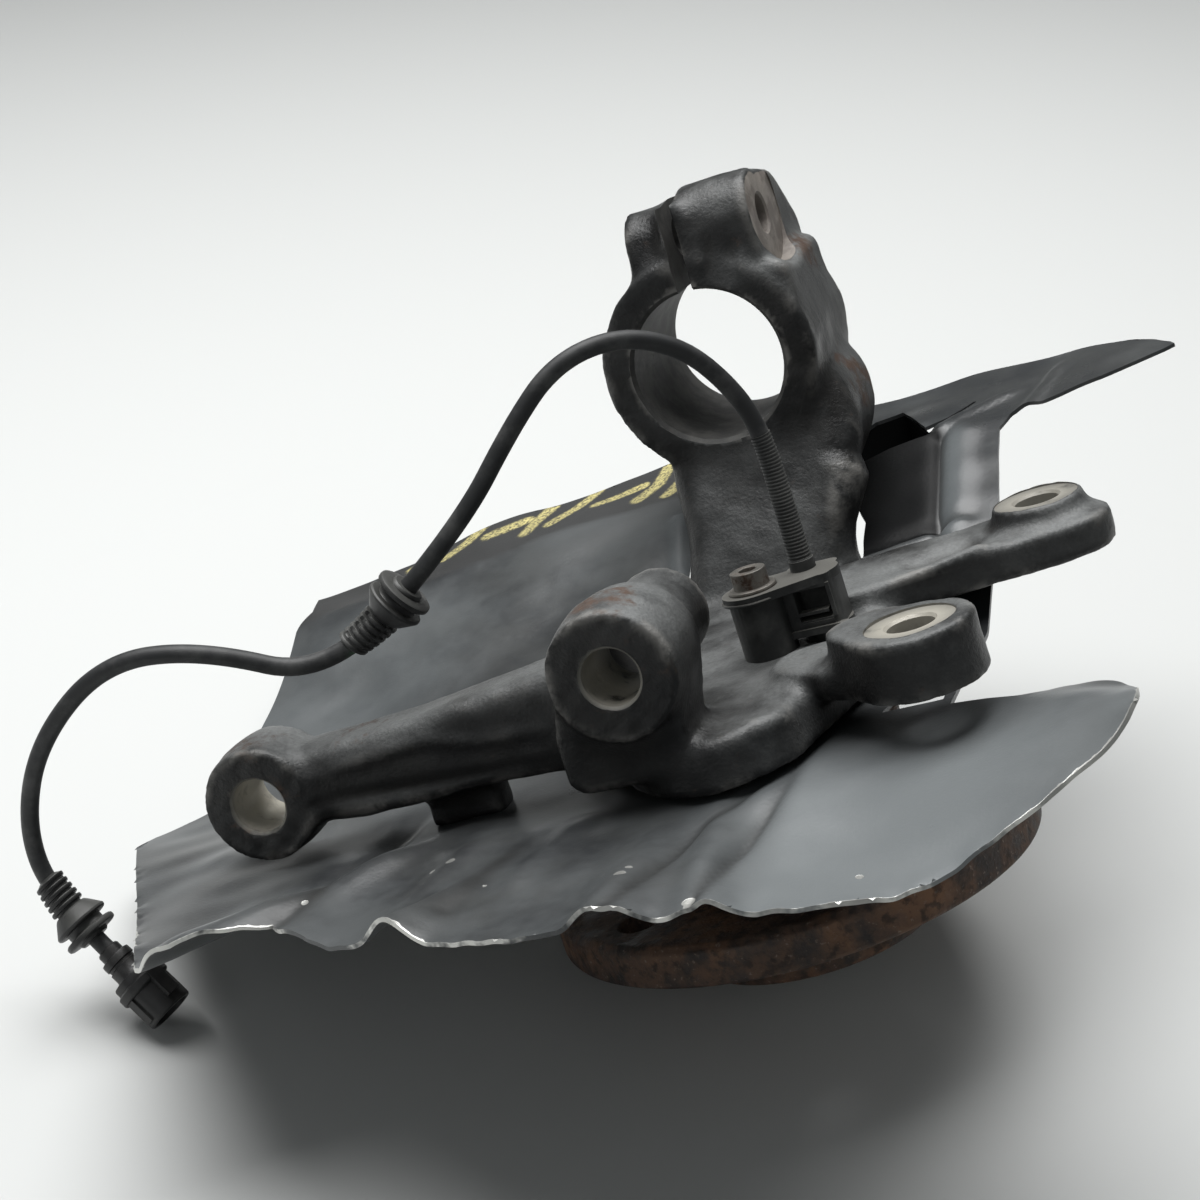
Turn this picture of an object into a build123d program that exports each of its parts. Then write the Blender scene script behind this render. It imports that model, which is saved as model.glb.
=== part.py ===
from build123d import *
import math
import os

# Front steering knuckle with its wheel hub, bearing, dust shield and wheel speed sensor.
# Everything but the cable is modelled in the hub's own frame, in millimetres: the origin is
# the centre of the hub's wheel face, +Z runs inboard along the hub axis and +Y towards the
# strut. At the end the assembly is laid down as it rests on a floor, with +Z up.

os.makedirs("parts", exist_ok=True)

# ---- Wheel hub ----
flange_r = 75.0
flange_t = 13.0
pilot_r = 39.5
pilot_length = 18.0
pilot_bore_r = 31.0
barrel_r = 43.0
barrel_end_z = 46.0
hub_bore_r = barrel_r - 9.4
bolt_circle_r = 60.0
wheel_bolt_count = 5
wheel_bolt_r = 6.3
disc_screw_r = 3.4

# ---- Bearing ----
ball_r = 6.0
ball_count = 12
pitch_r = hub_bore_r - 3.6
row_outer_z = 15.5
row_inner_z = 36.5
ring_r = pitch_r - 3.5
nut_bore_r = ring_r + 1.5
race_gap = 0.1
cage_t = 2.4
cage_width = 14.5
cage_gap = 0.2
fit_gap = 0.03

# ---- Spindle, its nut and the grease cap ----
spindle_r = ring_r - 6.5
shoulder_r = ring_r + 0.5
thread_r = spindle_r - 5.0
bearing_start_z = 5.0
spindle_end_z = -12.0
nut_flats = 41.0
nut_t = 12.0
nut_collar_t = 2.5
cap_wall = 1.2
cap_inset = 1.0

# ---- Knuckle casting ----
pad_z = 60.0
pad_r = barrel_r + 13.0
deck_z = 77.0
deck_r = pad_r - 4.0
deck_nose = (14.0, -72.0)
deck_nose_r = 25.0

ball_eye = (0.0, 101.0)
ball_eye_r = 19.2
ball_eye_face_y = -100.0
ball_eye_length = 26.0
ball_eye_bore_r = 8.1

arm_eye = (-121.7, 81.3)
arm_eye_r = 17.8
arm_eye_face_y = -81.0
arm_eye_length = 22.0
arm_eye_bore_r = 8.1
eye_draft = 5.0

ear_bore_r = 6.6
ear_face_r = 12.8
ear_top_z = 90.0
lower_ear = (72.8, -69.0)
lower_ear_r = 17.5
lower_ear_t = 17.5
upper_ear = (93.8, 32.0)
upper_ear_r = 14.5
upper_ear_t = 17.0
upper_boss_t = 6.0

strut_axis = (1.0, 148.0)
strut_r = 24.0
strut_wall = 10.5
clamp_front_y = 60.0
clamp_length = 54.0
slit_width = 5.0
slit_x = 1.0
lug_y = 80.0
lug_z = 187.0
lug_r = 15.0
shoulder_spot = (28.5, 169.0)
pinch_r = 6.2
left_lug_x = -16.0
right_lug_x = 27.0

# ---- Dust shield ----
sheet_t = 1.2
shield_r = 166.0
tab_r = shield_r + 28.0
left_edge_x = -shield_r - 9.0
right_edge_x = 77.0
panel_slope = 0.40
strip_slope = 0.15
panel_blend = 5.0
sheet_gap = 0.03
shield_screw_r = 3.0
shield_screw_circle_r = pad_r - 5.0
shield_screw_angles = (-12.0, -90.0, -168.0)

# ---- Wheel speed sensor ----
probe_spot = (barrel_r - 6.5, -16.0)
screw_spot = (probe_spot[0] - 16.0, probe_spot[1] - 9.0)
housing_spot = (probe_spot[0] - 1.0, probe_spot[1] - 2.0)
cable_spot = (probe_spot[0] - 3.0, probe_spot[1] + 1.0)
housing_width = 15.0
housing_depth = 16.0
probe_r = 7.5
sleeve_r = 8.0
bush_r = 6.0
sensor_screw_r = 3.0
sensor_top_z = 96.5
sensor_plate_t = 2.5
sensor_flange_gap = 3.5
encoder_t = 2.0
encoder_gap = 1.2

# ---- Cable, boot, grommets and plug ----
cable_r = 2.7
boot_r = 4.4
boot_length = 28.0
boot_rib_count = 9
grommet_gap = 0.5
plug_r = 7.5
plug_length = 24.0

# ---- How it lies on the floor ----
contact_angle = 151.2
floor_turn = 137.9
floor_shift = (41.0, -12.0)

# the cable's route after its boot, in the resting frame
cable_route = (
    (21.4, 9.8, 173.3), (12.0, 12.0, 186.0), (-2.0, 10.0, 198.5), (-20.0, 4.5, 204.0),
    (-37.0, -3.0, 198.5), (-48.0, -8.5, 182.0), (-61.5, -14.8, 154.0), (-98.0, -24.0, 107.0),
    (-135.0, -24.0, 116.0), (-163.5, -22.0, 109.0), (-184.0, -23.0, 81.0), (-189.5, -26.0, 52.0),
    (-182.0, -32.5, 32.0), (-163.0, -43.5, 19.5),
)


# ======== Wheel hub: flange, pilot and bearing barrel in one forging ========
with BuildPart() as hub:
    with BuildSketch(Plane.XZ) as hub_section:
        with BuildLine():
            Polyline(
                (pilot_bore_r, -pilot_length), (pilot_r - 1.5, -pilot_length),
                (pilot_r, 1.5 - pilot_length), (pilot_r, 0), (flange_r - 1.0, 0),
                (flange_r, 1.0), (flange_r, flange_t - 2.0), (flange_r - 2.0, flange_t),
                (barrel_r + 4.0, flange_t), (barrel_r, flange_t + 4.0),
                (barrel_r, barrel_end_z), (hub_bore_r, barrel_end_z),
                (hub_bore_r, bearing_start_z + 1.5), (nut_bore_r, bearing_start_z + 1.5),
                (nut_bore_r, -5.0), (pilot_bore_r, -5.0), close=True)
        make_face()
    revolve(axis=Axis.Z)
    with BuildSketch(Plane.XZ):
        with Locations((pitch_r, row_outer_z), (pitch_r, row_inner_z)):
            Circle(ball_r + race_gap)
    revolve(axis=Axis.Z, mode=Mode.SUBTRACT)
    with BuildSketch(Plane.XY):
        with PolarLocations(bolt_circle_r, wheel_bolt_count, start_angle=18):
            Circle(wheel_bolt_r)
        with PolarLocations(bolt_circle_r, 1, start_angle=54):
            Circle(disc_screw_r)
    extrude(amount=flange_t, mode=Mode.SUBTRACT)
hub.part.label = "wheel_hub"

pieces = [hub.part]

# ======== Knuckle casting ========
clamp_r = strut_r + strut_wall
with BuildPart() as knuckle:
    # Bearing seat and deck, with the nose that carries the ball joint eye
    with BuildSketch(Plane.XY.offset(pad_z + 3.0)):
        Circle(deck_r + 3.0)
        with Locations(deck_nose):
            Circle(deck_nose_r)
        make_hull()
    extrude(amount=deck_z - pad_z - 3.0, taper=7)
    fillet(knuckle.faces().sort_by(Axis.Z)[-1].edges(), radius=4)
    with BuildSketch(Plane.XY.offset(pad_z)):
        Circle(pad_r)
    extrude(amount=8.0)
    # Ball joint eye on its web
    with BuildSketch(Plane.XZ.offset(-ball_eye_face_y - ball_eye_length / 2)):
        with Locations(ball_eye):
            Circle(ball_eye_r)
    extrude(amount=ball_eye_length / 2, both=True, taper=eye_draft)
    with BuildSketch(Plane.XZ.offset(-ball_eye_face_y - 5.0)):
        with Locations(ball_eye):
            Circle(ball_eye_r - 1.5)
        with Locations((-6.0, 79.0)):
            RectangleRounded(34.0, 20.0, 6.0)
        make_hull()
    extrude(amount=2.0 - ball_eye_length)
    # Steering arm: a forged I-like bar that runs out to its eye
    arm_stations = (
        # x, centre y, centre z, width y, height z
        (-4.0, -66.0, 84.0, 34.0, 36.0),
        (-30.0, -69.0, 86.0, 24.0, 29.0),
        (-73.0, -69.5, 83.0, 20.0, 25.0),
        (-106.0, -68.0, 82.0, 20.0, 23.0),
    )
    for x, cy, cz, width, height in arm_stations:
        with BuildSketch(Plane(origin=(x, cy, cz), x_dir=(0, 1, 0), z_dir=(1, 0, 0))):
            RectangleRounded(width, height, 6.0)
    loft()
    with BuildSketch(Plane.XZ.offset(-arm_eye_face_y - arm_eye_length / 2)):
        with Locations(arm_eye):
            Circle(arm_eye_r)
    extrude(amount=arm_eye_length / 2, both=True, taper=eye_draft)
    # Foot that steadies the arm on the shield
    with BuildSketch(Plane.XY.offset(pad_z + 0.3)):
        with Locations((-66.0, -64.0)):
            RectangleRounded(23.0, 12.0, 3.0)
    extrude(amount=16.0)
    # Lower caliper ear
    with BuildSketch(Plane.XY.offset(ear_top_z - lower_ear_t)):
        with Locations((40.0, -50.0), (55.0, -60.0)):
            Circle(12.5)
        make_hull()
    extrude(amount=deck_z + 4.0 - ear_top_z + lower_ear_t)
    with BuildSketch(Plane.XY.offset(ear_top_z - lower_ear_t)):
        with Locations(lower_ear):
            Circle(lower_ear_r)
        with Locations((60.0, -62.0)):
            Circle(12.0)
        make_hull()
    extrude(amount=lower_ear_t)
    # Upper caliper ear on its arm, with a raised boss
    with BuildSketch(Plane.XY.offset(ear_top_z - upper_ear_t)):
        with Locations(upper_ear, (100.0, 28.0)):
            Circle(upper_ear_r)
        with Locations((38.0, 12.0)):
            Circle(19.0)
        make_hull()
    extrude(amount=upper_ear_t - upper_boss_t)
    with BuildSketch(Plane.XY.offset(ear_top_z - upper_boss_t)):
        with Locations(upper_ear):
            Circle(upper_ear_r - 0.5)
    extrude(amount=upper_boss_t)
    # The arm's underside is relieved to clear the sloping shield
    with BuildSketch(Plane.YZ.offset(44.0)):
        with BuildLine():
            Polyline((-5.0, pad_z), (60.0, pad_z), (60.0, pad_z + panel_slope * 60.0 + 3.0),
                     (-5.0, pad_z + 1.0), close=True)
        make_face()
    extrude(amount=80.0, mode=Mode.SUBTRACT)
    # Neck that rises from the deck to the strut clamp
    neck_stations = (
        # z, centre x, centre y, width x, depth y
        (pad_z + 4.0, 0.0, 44.0, 60.0, 24.0),
        (80.0, 1.0, 52.0, 50.0, 24.0),
        (98.0, 5.0, 66.0, 52.0, 34.0),
        (120.0, 9.0, 83.0, 62.0, 46.0),
        (133.0, 9.0, 86.0, 58.0, 44.0),
        (143.0, 6.0, 87.0, 48.0, 40.0),
    )
    for z, cx, cy, width, depth in neck_stations:
        with BuildSketch(Plane(origin=(cx, cy, z), x_dir=(1, 0, 0), z_dir=(0, 0, 1))):
            RectangleRounded(width, depth, 9.0)
    loft()
    # Casting pocket in the back of the neck
    with BuildSketch(Plane(origin=(7.0, 105.0, 81.0), x_dir=(1, 0, 0), z_dir=(0, 1, -0.7))):
        RectangleRounded(40.0, 46.0, 8.0)
    extrude(amount=-40.0, taper=8, mode=Mode.SUBTRACT)
    # Strut clamp: split ring with two lugs for the pinch bolt
    with BuildSketch(Plane.XZ.offset(-clamp_front_y)):
        with Locations(strut_axis):
            Circle(clamp_r)
    extrude(amount=-clamp_length)
    with BuildSketch(Plane.XZ.offset(-clamp_front_y - 3.0)):
        with Locations(strut_axis):
            Circle(clamp_r - 1.0)
        with Locations(shoulder_spot):
            Circle(5.0)
        make_hull()
    extrude(amount=6.0 - clamp_length)
    with BuildSketch(Plane.YZ.offset(left_lug_x)):
        with Locations((lug_y, lug_z - 2.0), (lug_y + 18.0, lug_z - 7.0)):
            Circle(lug_r - 2.0)
        with Locations((lug_y + 5.0, strut_axis[1] + strut_r)):
            Rectangle(lug_r * 2.8, 14.0)
        make_hull()
    extrude(amount=slit_x - left_lug_x)
    with BuildSketch(Plane.YZ.offset(slit_x)):
        with Locations((lug_y - 2.0, lug_z), (lug_y + 18.0, lug_z - 4.0)):
            Circle(lug_r)
        with Locations((lug_y + 12.0, strut_axis[1] + strut_r)):
            Rectangle(58.0, 14.0)
        make_hull()
    extrude(amount=right_lug_x - slit_x)
    # Face under the pinch bolt's head, cut into the shoulder
    with BuildSketch(Plane.YZ.offset(right_lug_x)):
        with Locations((lug_y, lug_z), (lug_y + 6.0, lug_z + 4.0)):
            Circle(lug_r + 3.0)
    extrude(amount=20.0, mode=Mode.SUBTRACT)
    with BuildSketch(Plane.XZ.offset(-clamp_front_y)):
        with Locations(strut_axis):
            Circle(strut_r)
    extrude(amount=-clamp_length * 1.2, mode=Mode.SUBTRACT)
    # Slit, pinch bolt hole
    with BuildSketch(Plane.XZ.offset(20.0 - clamp_front_y)):
        with Locations((slit_x, lug_z)):
            Rectangle(slit_width, 2.0 * (lug_z - strut_axis[1] - 10.0))
    extrude(amount=-clamp_length - 40.0, mode=Mode.SUBTRACT)
    with BuildSketch(Plane.YZ.offset(left_lug_x - 10.0)):
        with Locations((lug_y, lug_z)):
            Circle(pinch_r)
    extrude(amount=right_lug_x - left_lug_x + 20.0, mode=Mode.SUBTRACT)
    # Bores of the eyes and ears
    with BuildSketch(Plane.XZ.offset(-ball_eye_face_y)):
        with Locations(ball_eye):
            Circle(ball_eye_bore_r)
    extrude(amount=-ball_eye_length - 1.0, mode=Mode.SUBTRACT)
    with BuildSketch(Plane.XZ.offset(-ball_eye_face_y - ball_eye_length)):
        with Locations(ball_eye):
            Circle(ball_eye_bore_r + 5.0)
    extrude(amount=-30.0, mode=Mode.SUBTRACT)
    with BuildSketch(Plane.XZ.offset(-arm_eye_face_y)):
        with Locations(arm_eye):
            Circle(arm_eye_bore_r)
    extrude(amount=-arm_eye_length - 10.0, mode=Mode.SUBTRACT)
    with BuildSketch(Plane.XY.offset(ear_top_z)):
        with Locations(lower_ear, upper_ear):
            Circle(ear_bore_r)
    extrude(amount=-25.0, mode=Mode.SUBTRACT)
    # Spindle with its bearing seat and threaded end
    with BuildSketch(Plane.XZ):
        with BuildLine():
            Polyline(
                (0, pad_z + 2.0), (shoulder_r + 4.0, pad_z + 2.0), (shoulder_r + 4.0, pad_z),
                (shoulder_r, pad_z - 6.0), (shoulder_r, barrel_end_z), (spindle_r, barrel_end_z),
                (spindle_r, bearing_start_z + 0.4), (thread_r, bearing_start_z + 0.4),
                (thread_r, spindle_end_z + 1.5), (thread_r - 1.5, spindle_end_z),
                (0, spindle_end_z), close=True)
        make_face()
    revolve(axis=Axis.Z)
    # Sensor hole, its screw hole and the shield's screw holes
    with BuildSketch(Plane.XY.offset(deck_z)):
        with Locations(probe_spot):
            Circle(probe_r + 0.2)
    extrude(amount=-deck_z + pad_z - 1.0, mode=Mode.SUBTRACT)
    with BuildSketch(Plane.XY.offset(deck_z)):
        with Locations(screw_spot):
            Circle(sensor_screw_r + fit_gap)
    extrude(amount=-14.0, mode=Mode.SUBTRACT)
    with BuildSketch(Plane.XY.offset(pad_z)):
        for angle in shield_screw_angles:
            with PolarLocations(shield_screw_circle_r, 1, start_angle=angle):
                Circle(shield_screw_r + fit_gap)
    extrude(amount=12.0, mode=Mode.SUBTRACT)
knuckle.part.label = "knuckle"
pieces.append(knuckle.part)

# ======== Dust shield: one pressed sheet, bent along its front edge ========
def fold_y(x):
    """Where the sloping panel turns into the outer strip."""
    return 103.0 - 23.0 * (max(0.0, -25.0 - x) / 150.0) ** 1.6


# each dent of the front edge: angle round the hub, height, half width in degrees
edge_dents = ((-80.0, 5.5, 2.0), (-88.5, 6.0, 2.8), (-110.0, 7.0, 2.8), (-130.0, 7.0, 3.0))


def sheet_height(x, y):
    """Height of the sheet's inboard face over the point x, y."""
    fold = fold_y(x)
    run = min(max(0.0, y), panel_blend)
    rise = panel_slope * run * run / (2.0 * panel_blend)
    rise += panel_slope * max(0.0, min(y, fold) - panel_blend)
    rise += strip_slope * max(0.0, y - fold)
    angle = math.degrees(math.atan2(y, x))
    reach = max(0.0, math.hypot(x, y) - 88.0) / (shield_r - 88.0)
    bend = -13.5 * math.exp(-((angle + 65.0) / 14.0) ** 2)
    bend += 9.0 * math.exp(-((angle + 37.0) / 5.5) ** 2)
    if y > -40.0:
        bend *= max(0.0, 1.0 - (y + 40.0) / 25.0)
    if y < 0.0:
        for dent_angle, height, spread in edge_dents:
            bend += height * math.exp(-((angle - dent_angle) / spread) ** 2)
    return pad_z - sheet_gap + rise + bend * min(reach, 1.3) ** 1.2


def on_rim(radius, degrees):
    return radius * math.cos(math.radians(degrees)), radius * math.sin(math.radians(degrees))


with BuildPart() as shield:
    x_start, x_end, x_steps = -tab_r - 9.0, 142.0, 56
    y_start, y_end, y_steps = -shield_r - 8.0, 152.0, 54
    spacing = [j / y_steps for j in range(y_steps + 1)]
    sections = []
    for i in range(x_steps + 1):
        x = x_start + (x_end - x_start) * i / x_steps
        upper = [(x, y_start + (y_end - y_start) * t, 0) for t in spacing]
        upper = [(x, y, sheet_height(x, y)) for x, y, _ in upper]
        lower = [(x, y, z - sheet_t) for x, y, z in reversed(upper)]
        with BuildSketch(Plane.YZ.offset(x)) as section:
            with BuildLine():
                add(Edge.make_spline([(y, z) for _, y, z in upper], parameters=spacing))
                Line(upper[-1][1:], lower[0][1:])
                add(Edge.make_spline([(y, z) for _, y, z in lower], parameters=spacing))
                Line(lower[-1][1:], upper[0][1:])
            make_face()
    loft()
    with BuildSketch(Plane.XY.offset(20.0)) as outline:
        with BuildLine():
            flap_end, tab_start = -40.0, -127.5
            Polyline((right_edge_x, -56.0), on_rim(shield_r - 51.0, -32.0), on_rim(shield_r - 35.0, -29.5))
            ThreePointArc(on_rim(shield_r - 35.0, -29.5), on_rim(shield_r - 23.0, -29.8),
                          on_rim(shield_r - 14.0, -32.5))
            Line(on_rim(shield_r - 14.0, -32.5), on_rim(shield_r, flap_end))
            ThreePointArc(on_rim(shield_r, flap_end), on_rim(shield_r, (flap_end + tab_start) / 2),
                          on_rim(shield_r, tab_start))
            Line(on_rim(shield_r, tab_start), on_rim(tab_r - 2.0, -129.5))
            ThreePointArc(on_rim(tab_r - 2.0, -129.5), on_rim(tab_r + 3.5, -132.0), on_rim(tab_r + 4.0, -135.5))
            Polyline(on_rim(tab_r + 4.0, -135.5), on_rim(tab_r + 4.0, -170.5), on_rim(tab_r + 1.5, -173.5),
                     (left_edge_x - 12.0, -12.0), (left_edge_x, 0.0), (left_edge_x, 78.0),
                     (left_edge_x + 3.0, 88.0), (left_edge_x, 101.0))
            Spline((left_edge_x, 101.0), (-110.0, 121.0), (-40.0, 135.0), (28.0, 144.0), (85.0, 145.0),
                   (117.0, 139.5))
            Polyline((117.0, 139.5), (132.0, 126.0), (109.0, 114.5), (92.0, 109.5), (80.0, 104.0),
                     (right_edge_x - 1.0, 97.0), (right_edge_x, 60.0), (right_edge_x, -56.0))
        make_face()
        # Openings for the hub barrel, the bearing pad, the neck, the sensor tip and the screws
        Circle(barrel_r + 3.0, mode=Mode.SUBTRACT)
        with BuildLine():
            ThreePointArc((-pad_r - 2.0, 0), (0, pad_r + 2.0), (pad_r + 2.0, 0))
            Line((pad_r + 2.0, 0), (-pad_r - 2.0, 0))
        make_face(mode=Mode.SUBTRACT)
        with Locations((1.5, 68.0)):
            RectangleRounded(60.0, 80.0, 10.0, mode=Mode.SUBTRACT)
        # Window for the caliper, beside the narrow strip that carries the flap
        with BuildLine():
            Polyline((53.5, -51.0), (60.0, -17.0), (71.5, -20.0), (71.0, -51.0), close=True)
        make_face(mode=Mode.SUBTRACT)
        with Locations(probe_spot):
            Circle(probe_r + 1.5, mode=Mode.SUBTRACT)
        for angle in shield_screw_angles:
            with PolarLocations(shield_screw_circle_r, 1, start_angle=angle):
                Circle(shield_screw_r + 0.2, mode=Mode.SUBTRACT)
        # Slit behind the neck, where the sheet is torn up
        with BuildLine():
            Polyline((40.0, 100.5), (71.0, 106.5), (71.0, 108.5), (40.0, 103.5), close=True)
        make_face(mode=Mode.SUBTRACT)
    extrude(amount=120.0, mode=Mode.INTERSECT)
    # The torn tongue stands up behind the neck
    with BuildSketch(Plane.XZ.offset(-100.0)):
        with BuildLine():
            Polyline((38.0, 99.0), (52.0, 98.6), (52.0, 101.0), (47.0, 110.0), (39.0, 108.0), close=True)
        make_face()
    extrude(amount=-sheet_t)
shield.part.label = "dust_shield"
pieces.append(shield.part)

# ======== Bearing: two inner rings, two rows of balls in cages, a seal and the encoder ring ========
ring_length = (barrel_end_z - bearing_start_z) / 2
row_levels = (("outboard", row_outer_z, bearing_start_z),
              ("inboard", row_inner_z, bearing_start_z + ring_length))
for side, row_z, ring_z in row_levels:
    with BuildPart() as ring:
        with BuildSketch(Plane.XY.offset(ring_z)):
            Circle(ring_r)
            Circle(spindle_r + fit_gap, mode=Mode.SUBTRACT)
        extrude(amount=ring_length)
        with BuildSketch(Plane.XZ):
            with Locations((pitch_r, row_z)):
                Circle(ball_r + race_gap)
        revolve(axis=Axis.Z, mode=Mode.SUBTRACT)
    ring.part.label = f"inner_ring_{side}"
    pieces.append(ring.part)

    with BuildPart() as balls:
        with Locations((0, 0, row_z)):
            with PolarLocations(pitch_r, ball_count):
                Sphere(ball_r)
    balls.part.label = f"ball_row_{side}"
    pieces.append(balls.part)

    with BuildPart() as cage:
        with BuildSketch(Plane.XY.offset(row_z - cage_width / 2)):
            Circle(pitch_r + cage_t / 2)
            Circle(pitch_r - cage_t / 2, mode=Mode.SUBTRACT)
        extrude(amount=cage_width)
        with Locations((0, 0, row_z)):
            with PolarLocations(pitch_r, ball_count):
                Cylinder(ball_r + cage_gap, 3.0 * cage_t, rotation=(0, 90, 0), mode=Mode.SUBTRACT)
    cage.part.label = f"ball_cage_{side}"
    pieces.append(cage.part)

with BuildPart() as seal:
    with BuildSketch(Plane.XY.offset(barrel_end_z - 1.6)):
        Circle(hub_bore_r - fit_gap)
        Circle(ring_r + 0.08, mode=Mode.SUBTRACT)
    extrude(amount=1.6)
seal.part.label = "bearing_seal"
pieces.append(seal.part)

with BuildPart() as encoder:
    with BuildSketch(Plane.XY.offset(barrel_end_z)):
        Circle(barrel_r)
        Circle(hub_bore_r + 0.4, mode=Mode.SUBTRACT)
    extrude(amount=encoder_t)
encoder.part.label = "encoder_ring"
pieces.append(encoder.part)

# ======== Spindle nut and grease cap ========
with BuildPart() as nut:
    with BuildSketch(Plane.XY.offset(bearing_start_z - nut_collar_t)):
        Circle(ring_r - 0.5)
    extrude(amount=nut_collar_t)
    with BuildSketch(Plane.XY.offset(bearing_start_z - nut_collar_t)):
        RegularPolygon(nut_flats / 2, 6, major_radius=False)
    extrude(amount=-nut_t)
    with BuildSketch(Plane.XY.offset(bearing_start_z)):
        Circle(thread_r + fit_gap)
    extrude(amount=-nut_t - nut_collar_t, mode=Mode.SUBTRACT)
nut.part.label = "spindle_nut"
pieces.append(nut.part)

with BuildPart() as cap:
    with BuildSketch(Plane.XZ):
        with BuildLine():
            Polyline(
                (0, cap_inset - pilot_length), (pilot_bore_r - 4.0, cap_inset - pilot_length),
                (pilot_bore_r - fit_gap, cap_inset + 4.0 - pilot_length), (pilot_bore_r - fit_gap, -5.0),
                (pilot_bore_r - fit_gap - cap_wall, -5.0),
                (pilot_bore_r - fit_gap - cap_wall, cap_inset + 4.5 - pilot_length),
                (pilot_bore_r - 4.5, cap_inset + cap_wall - pilot_length),
                (0, cap_inset + cap_wall - pilot_length), close=True)
        make_face()
    revolve(axis=Axis.Z)
cap.part.label = "grease_cap"
pieces.append(cap.part)

# ======== Screws that hold the shield to the casting ========
with BuildPart() as shield_screws:
    with BuildSketch(Plane.XY.offset(pad_z - sheet_t - 2.0 * sheet_gap)):
        for angle in shield_screw_angles:
            with PolarLocations(shield_screw_circle_r, 1, start_angle=angle):
                RegularPolygon(5.0, 6, major_radius=False)
    extrude(amount=-4.0)
    with BuildSketch(Plane.XY.offset(pad_z - sheet_t - 2.0 * sheet_gap)):
        for angle in shield_screw_angles:
            with PolarLocations(shield_screw_circle_r, 1, start_angle=angle):
                Circle(shield_screw_r)
    extrude(amount=sheet_t + 9.0)
shield_screws.part.label = "shield_screws"
pieces.append(shield_screws.part)

# ======== Wheel speed sensor: moulded body, steel bush and its socket screw ========
with BuildPart() as sensor:
    with BuildSketch(Plane.XY.offset(deck_z)):
        with Locations(screw_spot):
            Circle(sleeve_r)
    extrude(amount=sensor_top_z - deck_z)
    # Housing of the sensing element, on a flange that stands clear of the deck
    with BuildSketch(Plane.XY.offset(deck_z + sensor_flange_gap)):
        with Locations(housing_spot):
            RectangleRounded(housing_width, housing_depth, 2.5)
        with Locations(((screw_spot[0] + housing_spot[0]) / 2, (screw_spot[1] + housing_spot[1]) / 2)):
            Rectangle(housing_width, 9.0)
    extrude(amount=sensor_top_z - deck_z - sensor_flange_gap)
    # Window pocket that leaves the top plate and the lower flange standing proud
    with BuildSketch(Plane.XZ.offset(housing_depth / 2 - housing_spot[1] + 1.0)):
        with Locations((housing_spot[0] + 1.0, deck_z + 11.5)):
            Rectangle(10.0, 9.0)
    extrude(amount=-8.0, mode=Mode.SUBTRACT)
    with BuildSketch(Plane.XY.offset(sensor_top_z - sensor_plate_t)):
        with Locations(screw_spot):
            Circle(sleeve_r + 1.3)
        with Locations((housing_spot[0] + 1.5, housing_spot[1] - 1.0)):
            Circle(7.5)
        make_hull()
    extrude(amount=sensor_plate_t)
    with BuildSketch(Plane.XY.offset(deck_z + sensor_flange_gap)):
        with Locations(probe_spot):
            Circle(probe_r)
    extrude(amount=barrel_end_z + encoder_t + encoder_gap - deck_z - sensor_flange_gap)
    with BuildSketch(Plane.XY.offset(sensor_top_z)):
        with Locations(screw_spot):
            Circle(bush_r + fit_gap)
    extrude(amount=deck_z - sensor_top_z, mode=Mode.SUBTRACT)
sensor.part.label = "sensor_body"
pieces.append(sensor.part)

with BuildPart() as bush:
    with BuildSketch(Plane.XY.offset(deck_z)):
        with Locations(screw_spot):
            Circle(bush_r)
            Circle(sensor_screw_r + 0.2, mode=Mode.SUBTRACT)
    extrude(amount=sensor_top_z - deck_z)
bush.part.label = "sensor_bush"
pieces.append(bush.part)

with BuildPart() as sensor_screw:
    with BuildSketch(Plane.XY.offset(sensor_top_z)):
        with Locations(screw_spot):
            Circle(5.25)
    extrude(amount=6.0)
    with BuildSketch(Plane.XY.offset(sensor_top_z)):
        with Locations(screw_spot):
            Circle(sensor_screw_r)
    extrude(amount=-sensor_top_z + deck_z - 11.0)
    with BuildSketch(Plane.XY.offset(sensor_top_z + 6.0)):
        with Locations(screw_spot):
            RegularPolygon(2.5, 6, major_radius=False)
    extrude(amount=-3.0, mode=Mode.SUBTRACT)
sensor_screw.part.label = "sensor_screw"
pieces.append(sensor_screw.part)

# ======== Ribbed boot where the cable leaves the sensor ========
with BuildPart() as boot:
    with BuildSketch(Plane.XZ):
        with BuildLine():
            Polyline((0, sensor_top_z), (boot_r + 0.8, sensor_top_z), (boot_r + 0.8, sensor_top_z + 3.0),
                     (boot_r, sensor_top_z + 4.0), (boot_r - 0.6, sensor_top_z + boot_length),
                     (0, sensor_top_z + boot_length), close=True)
        make_face()
        for k in range(boot_rib_count):
            with Locations((boot_r - 0.3, sensor_top_z + 5.5 + 2.4 * k)):
                Rectangle(1.5, 1.1, mode=Mode.SUBTRACT)
    revolve(axis=Axis.Z)
boot.part.label = "sensor_boot"
boot_part = Pos(*cable_spot, 0) * boot.part
boot_part.label = "sensor_boot"
pieces.append(boot_part)

# ======== Laid down: it rests on the edges of the pilot and the flange ========
lean = math.degrees(math.atan2(pilot_length, flange_r - pilot_r + 0.5))
lift = (pilot_r - 1.5) * math.sin(math.radians(lean)) + pilot_length * math.cos(math.radians(lean))
lying = Pos(*floor_shift, lift) * Rot(0, 0, floor_turn) * Rot(0, lean, 0) * Rot(0, 0, -contact_angle)
laid = []
for piece in pieces:
    placed = lying * piece
    placed.label = piece.label
    laid.append(placed)

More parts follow.
